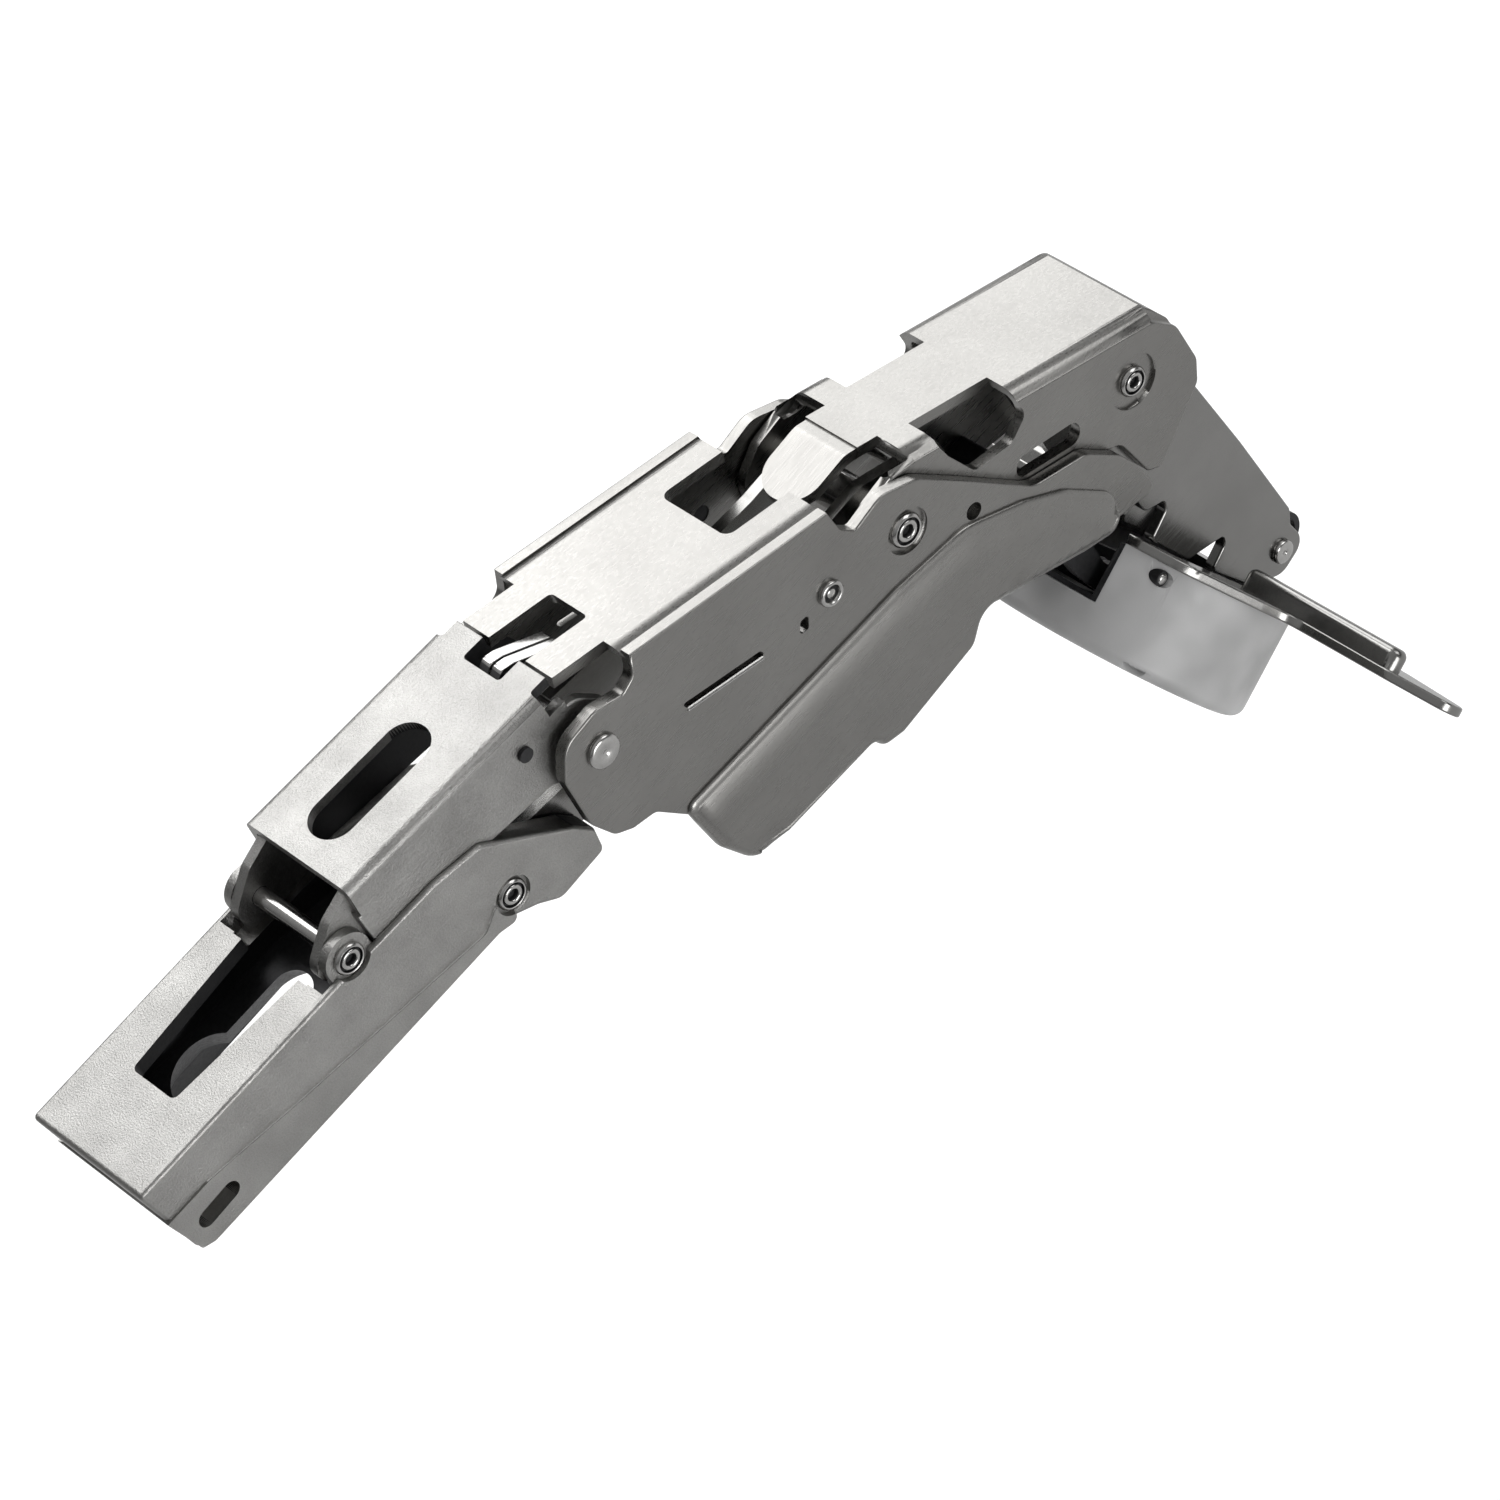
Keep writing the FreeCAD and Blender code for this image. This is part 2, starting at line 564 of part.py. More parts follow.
c_back_far = box("mid_back_far", (30.0, 7.3, -3.0), (42.9, 13.0, 9.0))
c_back_slot = pad("mid_back_slot", [
    (34.0 + RX, -3.0), (44.4 + RX, -3.0, 0.6), (44.4 + RX, 3.0, 0.6),
    (34.0 + RX, 3.0)], "16", base=(0, 0, RZ - 4.0), plane="XY_Plane")
c_front_cut = pad("mid_front_cut", [
    (61.6 + RX, -5.45, 1.2), (80.0 + RX, -5.45), (80.0 + RX, 5.45),
    (61.6 + RX, 5.45, 1.2)], "16", base=(0, 0, RZ - 11.5), plane="XY_Plane")
c_front_trim = box("mid_front_trim", (70.4, -20.0, -11.0), (76.0, 20.0, 2.0))
c_low_trim = box("mid_low_trim", (34.0, -13.0, -30.0), (74.0, 13.0, -12.0))
c_top_cut = cut("mid_top_cut", c_top, [c_back_near, c_back_far, c_back_slot, c_front_cut, c_front_trim])
c_join = fuse("mid_join", [c_top_cut, c_near, c_far, b_near, b_far, s_near, s_far,
                          strap_end_near, strap_end_far, bridge])
long_slot = pad("mid_long_slot", world([
    (45.1, -8.9, 0.5), (55.9, -12.4, 0.5), (56.2, -13.4, 0.5), (45.4, -9.9, 0.5)]), "40", mid=True)
key_hole = pad("mid_key_hole", world([
    (60.6, -15.6, 0.5), (61.6, -14.0, 0.5), (62.8, -14.2, 0.4), (62.0, -15.9, 0.4)]), "40", mid=True)
mid_face = "sizes.mid_in + sizes.mid_thick"
NODES["centre_channel"] = cut("centre_channel", c_join, [
    long_slot, key_hole,
    hole_pair("mid_bore_centre", P3, "sizes.pin_rad"),
    hole_pair("mid_bore_scissor", P4, "sizes.pin_rad"),
    rod("mid_recess_near", P4, "sizes.head_rad + 1.0", "-20", "-(" + mid_face + ") + 0.6"),
    rod("mid_recess_far", P4, "sizes.head_rad + 1.0", "(" + mid_face + ") - 0.6", "20"),
    hole_pair("mid_hole_front", spot(85.7, -23.1), "1.1"),
    hole_pair("mid_hole_stud", spot(66.2, -14.3), "1.1"),
    hole_pair("mid_bore_inner", P5, "sizes.small_rad + sizes.fit")])
NODES["centre_pin"] = pin("centre_pin", P3, "sizes.pin_rad", mid_face, "sizes.head_rad", mid_face,
    mid_face + " + 0.7", "0.1")
GUIDE = spot(66.2, -14.3)
guide_body = fuse("guide_body", [
    rod("guide_near", GUIDE, "1.1", "-(" + mid_face + ") - 0.1", "-sizes.mid_in + 0.1"),
    rod("guide_near_head", GUIDE, "1.65", "-(" + mid_face + ") - 0.6", "-(" + mid_face + ")"),
    rod("guide_far", GUIDE, "1.1", "sizes.mid_in - 0.1", mid_face + " + 0.1"),
    rod("guide_far_head", GUIDE, "1.65", mid_face, mid_face + " + 0.6")])
NODES["guide_studs"] = cut("guide_studs", guide_body, [
    rod("guide_near_hollow", GUIDE, "1.05", "-(" + mid_face + ") - 1", "-(" + mid_face + ") - 0.1"),
    rod("guide_far_hollow", GUIDE, "1.05", mid_face + " + 0.1", mid_face + " + 1")])
NODES["scissor_rivet"] = pin("scissor_rivet", P4, "sizes.pin_rad", mid_face + " - 0.6",
    "sizes.head_rad", mid_face + " - 0.6", mid_face + " + 0.2")
NODES["inner_web"] = pad("inner_web", world([
    (58.6, -4.0), (62.0, -6.4, 1.5), (64.6, -12.0), (63.8, -12.4), (61.2, -7.2, 1.5),
    (58.3, -4.9)]), "2 * (sizes.mid_in)", mid=True)

# Front channel: rolled top with a tongue behind, side windows and a slotted cheek.
B_TURN = 22.45
b_top = pad("front_top", [
    (-V["front_out"], -7.0), (-V["front_out"], 0.0, 2.4), (V["front_out"], 0.0, 2.4),
    (V["front_out"], -7.0),
    (V["front_out"] - V["front_thick"], -7.0),
    (V["front_out"] - V["front_thick"], -V["front_thick"], 1.0),
    (-V["front_out"] + V["front_thick"], -V["front_thick"], 1.0),
    (-V["front_out"] + V["front_thick"], -7.0)],
    "39.6", base=(80.4 + RX, 0, -9.5 + RZ), plane="YZ_Plane", turn=B_TURN)
b_limit = pad("front_limit", world([
    (79.6, -9.0), (80.9, -8.4), (90.0, -11.0), (115.0, -22.0), (117.4, -24.7, 2.2),
    (119.1, -28.8, 1.5), (119.5, -36.0, 1.5),
    (110.0, -34.0), (76.0, -20.0)]), "2 * sizes.front_out", mid=True)
front_in_mm = 8.15
size("front_in", front_in_mm)
doc.recompute()
front_cheek = world([
    (83.4, -11.4, 0.5), (79.8, -11.0, 2.5), (75.6, -11.6, 2.0), (71.6, -14.2, 3.0),
    (71.0, -18.6, 3.0), (73.4, -23.0, 3.0),
    (84.0, -26.4, 5.0), (99.0, -32.4, 3.0), (106.0, -36.4, 2.0), (107.6, -43.4, 1.0),
    (109.4, -44.6, 1.0), (116.3, -40.3, 1.5), (118.3, -39.0, 1.5), (119.5, -36.0, 2.0),
    (119.0, -29.4, 3.0), (116.6, -26.0, 2.0), (112.0, -23.4, 0.0)])
f_near, f_far = pair("front_cheek", front_cheek, "front_in", "front_thick", soft="sizes.stamp_soft")
front_end = pad("front_end", world([
    (113.4, -23.4), (117.3, -24.8, 2.2), (119.0, -28.8, 1.5), (119.3, -32.0), (118.0, -32.1),
    (117.6, -29.0, 1.0), (116.2, -26.0, 1.2), (113.0, -24.8)]), "2 * sizes.front_in", mid=True)
tongue = pad("front_tongue", [
    (70.6 + RX, -4.0, 3.9), (86.0 + RX, -4.0), (86.0 + RX, 4.0),
    (70.6 + RX, 4.0, 3.9)], "14", base=(0, 0, RZ - 20.0), plane="XY_Plane")
tongue_side = pad("front_tongue_side", world([
    (69.0, -9.9), (78.6, -9.1, 3.0), (83.6, -10.9), (83.2, -12.2), (78.4, -10.5, 2.0),
    (69.0, -11.3)]), "20", mid=True)
tongue_solid = common("front_tongue_solid", tongue, tongue_side)
win_side = world([(86.4, -8.0), (97.9, -8.0), (97.4, -20.4, 1.5), (94.4, -22.0, 1.5),
    (88.9, -20.6, 1.5), (86.9, -15.4, 1.5)])
window_in_mm = 5.0
size("window_in", window_in_mm)
window_deep_mm = 6.0
size("window_deep", window_deep_mm)
doc.recompute()
w_near, w_far = pair("front_window", win_side, "window_in", "window_deep")
f_slot = pad("front_slot", world([
    (92.6, -27.0, 1.4), (94.0, -24.6, 1.4), (102.9, -27.7, 1.4), (102.0, -30.6, 1.4)]), "40", mid=True)
r_near = rod("front_relief_near", spot(81.2, -10.4), "1.9", "-9", "-4.2")
r_far = rod("front_relief_far", spot(81.2, -10.4), "1.9", "4.2", "9")
b_channel = common("front_channel_trim", b_top, b_limit)
b_join = fuse("front_join", [b_channel, f_near, f_far, front_end, tongue_solid])
front_face = "sizes.front_out"
NODES["front_channel"] = cut("front_channel", b_join, [
    w_near, w_far, f_slot, r_near, r_far,
    hole_pair("front_bore_scissor", P4, "sizes.pin_rad + sizes.fit"),
    hole_pair("front_bore_front", P6, "sizes.pin_rad"),
    rod("front_recess_near", P6, "3.5", "-20", "-(" + front_face + ") + 0.45"),
    rod("front_recess_far", P6, "3.5", "(" + front_face + ") - 0.45", "20"),
    hole_pair("front_bore_lever", spot(85.0, -19.4), "1.1")])
lever = world([
    (19.4, -13.6, 0.0), (22.6, -15.6, 3.0), (48.0, -17.6, 12.0), (70.0, -19.6, 6.0),
    (78.0, -21.6, 4.0), (86.6, -22.6, 2.0),
    (89.2, -19.0, 2.5), (84.6, -15.2, 2.5), (77.6, -12.4, 4.0), (70.0, -12.8, 4.0),
    (48.0, -11.6, 12.0), (23.6, -9.4, 4.0), (19.4, -8.2, 0.0)])
eye_ends = world([(16.1, -13.6), (20.1, -10.6)])
eye_out = capsule(eye_ends[0], eye_ends[1], 2.8)
eye_slot = pad("lever_eye_slot", capsule(eye_ends[0], eye_ends[1], 1.75), "40", mid=True)
lever_near = pad("lever_near_plate", lever, "sizes.lever_thick")
lever_near.setExpression("Placement.Base.y", "-sizes.lever_in")
lever_far = pad("lever_far_plate", lever, "sizes.lever_thick")
lever_far.setExpression("Placement.Base.y", "sizes.lever_in + sizes.lever_thick")
eye_near = pad("lever_near_eye", eye_out, "sizes.lever_thick")
eye_near.setExpression("Placement.Base.y", "-sizes.lever_in")
eye_far = pad("lever_far_eye", eye_out, "sizes.lever_thick")
eye_far.setExpression("Placement.Base.y", "sizes.lever_in + sizes.lever_thick")
for label, plate, loop in (("long_lever_near", lever_near, eye_near),
    ("long_lever_far", lever_far, eye_far)):
    NODES[label] = cut(label, fuse(label + "_whole", [plate, loop]), [
        eye_slot,
        hole_pair(label + "_scissor", P4, "sizes.pin_rad + sizes.fit"),
        hole_pair(label + "_rivet", spot(85.0, -19.4), "1.1")])


def sleeve(name, place, outer, inner, low, high):
    return cut(name, rod(name + "_out", place, outer, low, high), [rod(name + "_in", place, inner,
        "-20", "20")])


NODES["nose_sleeve"] = sleeve("nose_sleeve", P2, "2.4", "sizes.pin_rad + sizes.fit",
    "-sizes.lever_in + 0.05", "sizes.lever_in - 0.05")
NODES["scissor_sleeve"] = sleeve("scissor_sleeve", P4, "2.4", "sizes.pin_rad + sizes.fit",
    "-sizes.lever_in + 0.05", "sizes.lever_in - 0.05")
lever_out = "sizes.lever_in + sizes.lever_thick"
NODES["scissor_spacers"] = fuse("scissor_spacers", [
    sleeve("spacer_near", P4, "2.6", "sizes.pin_rad + sizes.fit", "-sizes.front_in + 0.02",
    "-(" + lever_out + ") - 0.02"),
    sleeve("spacer_far", P4, "2.6", "sizes.pin_rad + sizes.fit", lever_out + " + 0.02",
    "sizes.front_in - 0.02")])
NODES["lever_rivet"] = rod("lever_rivet", spot(85.0, -19.4), "1.1", "-sizes.front_out",
    "sizes.front_out")
NODES["front_rivet"] = pin("front_rivet", P6, "sizes.pin_rad", front_face + " - 0.45",
    "sizes.head_rad - 0.1", front_face + " - 0.45", front_face + " + 0.3")

# Front link plates between the front channel and the cup.
link_side = world([
    (106.0, -27.0, 4.5), (115.4, -26.0, 4.0), (117.4, -31.0, 5.0), (118.4, -40.4, 6.0),
    (120.5, -54.3, 0.0), (122.4, -69.8, 0.8),
    (121.6, -72.0, 0.8), (122.4, -76.0, 3.0), (117.8, -77.4, 2.5), (113.4, -74.6, 2.0),
    (109.6, -66.8, 0.8), (112.7, -65.2, 1.2), (113.0, -63.9, 0.6), (107.6, -62.0, 0.8),
    (104.6, -54.4, 0.8), (108.0, -52.6, 0.8), (108.4, -51.2, 0.6), (105.6, -50.0, 1.0),
    (104.4, -36.0, 5.0)])
l_near, l_far = pair("front_plate", link_side, "plate_in", "plate_thick", soft="sizes.stamp_soft")
for label, plate in (("front_link_near", l_near), ("front_link_far", l_far)):
    NODES[label] = cut(label, plate, [
        hole_pair(label + "_top", P6, "sizes.pin_rad + sizes.fit"),
        hole_pair(label + "_low", P7, "sizes.small_rad")])
link_out = "sizes.plate_in + sizes.plate_thick"
NODES["cup_pin"] = pin("cup_pin", P7, "sizes.small_rad", link_out, "sizes.head_rad - 0.35", link_out,
    link_out + " + 0.7", "0.1")
NODES["link_tie"] = rod("link_tie", spot(115.8, -57.0), "1.0", "-sizes.plate_in", "sizes.plate_in")

# Cup, drawn flat with the door face at zero height and then turned into the open pose.
CUP = Placement(Vector(V["cup_x"], 0, V["cup_z"]), Rotation(Vector(0, 1, 0), V["cup_turn"]))


def set_cup(thing):
    thing.Placement = CUP.multiply(thing.Placement)
    return thing


def cup_local(x, z):
    back = CUP.inverse().multVec(Vector(x, 0, z))
    return back.x, back.z


wall = set_cup(pad("bowl_wall_pad", [], "sizes.bowl_deep", base=(0, 0, -V["bowl_deep"]),
    plane="XY_Plane",
                   rings=((0.0, 0.0, V["bowl_rad"], "sizes.bowl_rad"),)))
bowl_round = doc.addObject("Part::Fillet", "bowl_round")
bowl_round.Base = wall
low_edges = []
for index, edge in enumerate(wall.Shape.Edges):
    centre = CUP.inverse().multVec(edge.CenterOfMass)
    if abs(centre.z + V["bowl_deep"]) < 0.01 and edge.Closed:
        low_edges.append((index + 1, 1.6, 1.6))
bowl_round.Edges = low_edges
hollow = set_cup(pad("bowl_hollow", [], "12", base=(0, 0, -V["bowl_deep"] + V["bowl_floor"]),
    plane="XY_Plane",
                     rings=((0.0, 0.0, V["bowl_rad"] - V["bowl_wall"],
                     "sizes.bowl_rad - sizes.bowl_wall"),)))
gate_half = V["gate_half"]
gate_low = -V["gate_low"]
gate = set_cup(pad("bowl_gate", [
    (-22.0, -gate_half), (-11.0, -gate_half), (-11.0, gate_half),
    (-22.0, gate_half)], "12", base=(0, 0, gate_low), plane="XY_Plane"))
bite = set_cup(pad("bowl_bite", [], "1.0", base=(0, 0, -V["bowl_deep"] - 0.1), plane="XY_Plane",
                   rings=((-11.6, -13.3, 1.5), (-11.6, 13.3, 1.5))))
p5u, p5n = cup_local(V["inner_x"], V["inner_z"])
p7u, p7n = cup_local(V["cuppin_x"], V["cuppin_z"])
tie_place = spot(101.8, -55.8)
tie_hole = rod("bowl_tie_hole", tie_place, "1.0", "-20", "20")
NODES["cup_body"] = cut("cup_body", bowl_round, [hollow, gate, bite, tie_hole])
NODES["tie_pins"] = fuse("tie_pins", [
    rod("tie_near", tie_place, "1.0", "-11.9", "-10.2"), rod("tie_far", tie_place, "1.0", "10.2",
    "11.9")])
wing = V["wing_half"]
flange_outline = [
    (-16.3, -6.0), (-16.3, -8.4, 3.0), (-12.9, -14.2, 6.0), (-2.0, -18.4, 5.0), (2.2, -19.4, 3.0),
    (3.2, -34.0, 6.0), (5.2, -wing, 2.0), (9.6, -wing, 3.0), (14.0, -30.0, 6.0),
    (15.0, -18.0, 6.0), (18.4, -9.0, 6.0), (18.4, 9.0, 6.0), (15.0, 18.0, 6.0), (14.0, 30.0, 6.0),
    (9.6, wing, 3.0), (5.2, wing, 2.0), (3.2, 34.0, 6.0),
    (2.2, 19.4, 3.0), (-2.0, 18.4, 5.0), (-12.9, 14.2, 6.0), (-16.3, 8.4, 3.0), (-16.3, 6.0)]
plate = set_cup(pad("flange_plate", flange_outline, "sizes.flange_thick", base=(0, 0, 0.02),
    plane="XY_Plane",
                    soft=("sizes.stamp_soft", ("low", "high"))))
rib_near = set_cup(pad("flange_rib_near", [
    (1.8, -11.0, 1.2), (4.9, -11.0, 1.2), (6.2, -34.2, 1.45),
    (3.25, -34.2, 1.45)], "2.6", base=(0, 0, V["flange_thick"]), plane="XY_Plane",
    soft=("sizes.rib_soft", ("high",))))
rib_far = set_cup(pad("flange_rib_far", [
    (1.8, 11.0, 1.2), (4.9, 11.0, 1.2), (6.2, 34.2, 1.45),
    (3.25, 34.2, 1.45)], "2.6", base=(0, 0, V["flange_thick"]), plane="XY_Plane",
    soft=("sizes.rib_soft", ("high",))))
mouth_half = V["mouth_half"]
mouth = set_cup(pad("flange_mouth", [
    (-20.0, -gate_half), (-11.5, -gate_half, 0.5), (-11.5, -mouth_half, 1.0), (12.6, -mouth_half, 2.0),
    (12.6, mouth_half, 2.0), (-11.5, mouth_half, 1.0), (-11.5, gate_half, 0.5), (-20.0, gate_half)],
    "4", base=(0, 0, -1.0), plane="XY_Plane"))
screws = set_cup(pad("flange_screws", [], "6", base=(0, 0, -1.0), plane="XY_Plane", rings=(
    (V["screw_off"], V["screw_half"], V["screw_rad"], "sizes.screw_rad"),
    (V["screw_off"], -V["screw_half"], V["screw_rad"], "sizes.screw_rad"))))
flange_join = fuse("flange_join", [plate, rib_near, rib_far])
NODES["cup_flange"] = cut("cup_flange", flange_join, [mouth, screws])

# Steel bracket in the bowl with an ear on each side for both cup pivots.
bowl_low = -V["bowl_deep"] + V["bowl_floor"] + 0.05
ear = [
    (-8.6, bowl_low), (12.4, bowl_low, 1.0), (12.2, 3.0, 3.0), (p7u + 2.2, p7n, 1.0),
    (p7u - 3.4, p7n - 0.6, 2.0), (p7u - 5.4, 0.6, 2.0), (2.0, -2.4, 3.0),
    (-8.6, -2.4, 2.5)]
loop_ends = ((V["cuppin_x"] - 2.45, V["cuppin_z"] + 0.9), (V["cuppin_x"] + 2.05, V["cuppin_z"] - 0.2))
loop_near, loop_far = pair("bracket_loop", capsule(loop_ends[0], loop_ends[1], 2.7), "ear_in",
    "ear_thick")
loop_slot = pad("bracket_loop_slot", capsule(loop_ends[0], loop_ends[1], 1.9), "40", mid=True)


def cup_plate(name, inner, thick, rings=()):
    near = set_cup(pad(name + "_near", ear, "sizes." + thick, base=(0, -V[inner], 0)))
    far = set_cup(pad(name + "_far", ear, "sizes." + thick, base=(0, V[inner] + V[thick], 0)))
    return near, far


e_near, e_far = cup_plate("bracket_ear", "ear_in", "ear_thick")
base_plate = set_cup(pad("bracket_base", [
    (-1.6, -6.5, 0.5), (12.4, -6.5, 0.5), (12.4, 6.5, 0.5),
    (-1.6, 6.5, 0.5)], "1.2", base=(0, 0, bowl_low), plane="XY_Plane"))
bracket_join = fuse("bracket_join", [e_near, e_far, base_plate, loop_near, loop_far])
NODES["cup_bracket"] = cut("cup_bracket", bracket_join, [
    hole_pair("bracket_inner", P5, "sizes.small_rad"),
    loop_slot])
ear_out = "sizes.ear_in + sizes.ear_thick"
NODES["inner_pin"] = pin("inner_pin", P5, "sizes.small_rad", ear_out, "sizes.head_rad", ear_out,
    ear_out + " + 0.55", "0.1")

# Gate frame: the dark steel lining of the opening where the straps enter the bowl.
line_half = gate_half - V["play"] / 2
line_low = gate_low + V["play"] / 2
line_in = line_half - V["liner_thick"]
liner_out = set_cup(pad("liner_outer", [
    (-16.2, -line_half), (-11.05, -line_half), (-11.05, line_half),
    (-16.2, line_half)], "7.4", base=(0, 0, line_low),
    plane="XY_Plane"))
liner_in = set_cup(pad("liner_inner", [
    (-20.0, -line_in), (-9.0, -line_in), (-9.0, line_in), (-20.0, line_in)], "9",
    base=(0, 0, line_low + V["liner_thick"]), plane="XY_Plane"))
liner_bound = set_cup(pad("liner_bound", [], "14", base=(0, 0, -10.0), plane="XY_Plane",
                          rings=((0.0, 0.0, V["bowl_rad"] - 0.05, "sizes.bowl_rad - 0.05"),)))
liner_trim = common("liner_trim", liner_out, liner_bound)
NODES["gate_liner"] = cut("gate_liner", liner_trim, [liner_in])

# Closing spring: a coil round the inner pivot with two straight legs.
coil_rad = V["small_rad"] + 0.95
wire_rad = 0.45
coil_long = 2 * (V["strap_in"] - wire_rad) - 0.7
helix = Part.makeHelix(1.05, coil_long, coil_rad)
profile = Part.Wire([Part.makeCircle(wire_rad, Vector(coil_rad, 0, 0), Vector(0, 1, 0))])
spring = doc.addObject("Part::Feature", "closing_spring")
spring.Shape = Part.Wire(helix).makePipeShell([profile], True, True)
spring.Placement = Placement(Vector(V["inner_x"], coil_long / 2, V["inner_z"]), Rotation(Vector(1, 0,
    0), 90))
NODES["closing_spring"] = spring

doc.recompute()
for name, thing in NODES.items():
    thing.Label = name
    states = [s for s in thing.State if s in ("Invalid", "Error")]
    if states or thing.Shape.isNull() or not thing.Shape.isValid():
        print("BAD", name, thing.State)
        raise SystemExit(1)
    thing.Shape.exportStep("parts/" + name + ".step")
    bb = thing.Shape.BoundBox
    print("%-18s solids %d vol %8.1f  x %6.1f..%6.1f y %5.1f..%5.1f z %6.1f..%6.1f" % (
        name, len(thing.Shape.Solids), thing.Shape.Volume, bb.XMin, bb.XMax, bb.YMin, bb.YMax,
        bb.ZMin, bb.ZMax))
bad = [o.Name for o in doc.Objects if any(s in ("Invalid", "Error") for s in o.State)]
print("objects", len(doc.Objects), "bad", bad)
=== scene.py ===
"""Looks of a wide opening concealed cup hinge: rounded pieces, finishes, light and camera."""

import json
import logging
import math
from dataclasses import dataclass
from enum import Enum
from typing import Callable

import bmesh
import bpy
from mathutils import Matrix, Vector
from mathutils.geometry import intersect_point_line


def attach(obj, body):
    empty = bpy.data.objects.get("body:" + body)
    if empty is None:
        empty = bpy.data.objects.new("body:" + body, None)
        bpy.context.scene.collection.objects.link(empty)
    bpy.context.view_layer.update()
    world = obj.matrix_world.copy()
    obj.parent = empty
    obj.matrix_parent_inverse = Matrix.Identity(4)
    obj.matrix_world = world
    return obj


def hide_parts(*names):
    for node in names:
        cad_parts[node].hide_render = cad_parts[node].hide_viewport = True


LOG = logging.getLogger("cup_hinge")

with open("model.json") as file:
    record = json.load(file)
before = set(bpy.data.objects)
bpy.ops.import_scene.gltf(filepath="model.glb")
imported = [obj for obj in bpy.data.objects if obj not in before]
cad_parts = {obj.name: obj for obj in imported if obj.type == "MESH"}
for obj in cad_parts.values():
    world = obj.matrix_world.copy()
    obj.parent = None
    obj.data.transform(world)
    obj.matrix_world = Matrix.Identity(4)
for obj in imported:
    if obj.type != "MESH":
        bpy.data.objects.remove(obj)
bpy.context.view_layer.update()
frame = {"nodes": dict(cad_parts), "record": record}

MM = 0.001
ACROSS = Vector((0.0, 1.0, 0.0))

NEAR_MM = 0.05  # A vertex this close to a level lies on it.
LEVEL_MM = 0.01  # The same for the middle of a flat face.
MERGE_MM = 0.002  # Vertices this close become one.
TURNED_MERGE_MM = 0.003  # The same on turned pieces.
CUT_MM = 0.0002  # A vertex this close to a cutting plane lies on it.
FLAT_DEG = 0.3  # Faces that turn by less become one.
HARD_DEG = 40.0  # Edges above this angle are broken.
SHARP_DEG = 35.0  # Edges above this angle are shaded sharp.
TURNED_SHARP_DEG = 50.0  # The same on turned pieces and lips.
NORMAL_WEIGHT = 60  # How strongly large faces lead the shading.
NOISE_SPAN = (0.3, 0.7)  # Values between which most of a noise lies.
SOFT_M = 0.004  # How far light spreads inside the plastic, in metres.
SOFT_SCALE = 0.5  # Share of that spread that is used.


class Slot(Enum):
    """The record's material slots."""

    CAST = "cast_nickel"
    BRIGHT = "bright_nickel"
    SIDE = "side_nickel"
    RIVET = "rivet_steel"
    SPRING = "spring_steel"
    DARK = "dark_steel"
    GREY = "grey_plastic"
    CUP = "cup_plastic"


class Body(Enum):
    """The bodies that move as one."""

    ARM = "arm"
    REAR = "rear"
    MID = "mid"
    FRONT = "front"
    LINK = "link"
    CUP = "cup"


def _socket_group(name: str, inputs: tuple, outputs: tuple) -> tuple:
    """Makes an empty node group with named sockets.

    Args:
        name: The group's name.
        inputs: Pairs of a socket name and its default value.
        outputs: Names of the value outputs.

    Returns:
        The group, its input node and its output node.
    """
    group = bpy.data.node_groups.new(name, "ShaderNodeTree")
    for label, value in inputs:
        socket = group.interface.new_socket(name=label, in_out="INPUT", socket_type="NodeSocketFloat")
        socket.default_value = value
    for label in outputs:
        group.interface.new_socket(name=label, in_out="OUTPUT", socket_type="NodeSocketFloat")
    first = group.nodes.new("NodeGroupInput")
    last = group.nodes.new("NodeGroupOutput")
    return group, first, last


@dataclass(frozen=True)
class CastGrain:
    """Fine speckle of a tumbled and plated casting."""

    name: str = "cast_grain"

    def build(self) -> bpy.types.ShaderNodeTree:
        """Builds the group: grains and clouds a metre in, height and tone out.

        Returns:
            The node group.
        """
        group, first, last = _socket_group(
            self.name, (("Size", 5200.0), ("Cloud", 160.0), ("Blend", 0.5)), ("Height", "Tone"))
        place = group.nodes.new("ShaderNodeTexCoord")
        fine = group.nodes.new("ShaderNodeTexNoise")
        fine.inputs["Detail"].default_value = 3.0
        fine.inputs["Roughness"].default_value = 0.6
        coarse = group.nodes.new("ShaderNodeTexNoise")
        coarse.inputs["Detail"].default_value = 2.0
        mix = group.nodes.new("ShaderNodeMix")
        mix.data_type = "FLOAT"
        group.links.new(place.outputs["Object"], fine.inputs["Vector"])
        group.links.new(place.outputs["Object"], coarse.inputs["Vector"])
        group.links.new(first.outputs["Size"], fine.inputs["Scale"])
        group.links.new(first.outputs["Cloud"], coarse.inputs["Scale"])
        group.links.new(first.outputs["Blend"], mix.inputs["Factor"])
        group.links.new(fine.outputs["Fac"], mix.inputs["A"])
        group.links.new(coarse.outputs["Fac"], mix.inputs["B"])
        group.links.new(fine.outputs["Fac"], last.inputs["Height"])
        group.links.new(mix.outputs["Result"], last.inputs["Tone"])
        return group


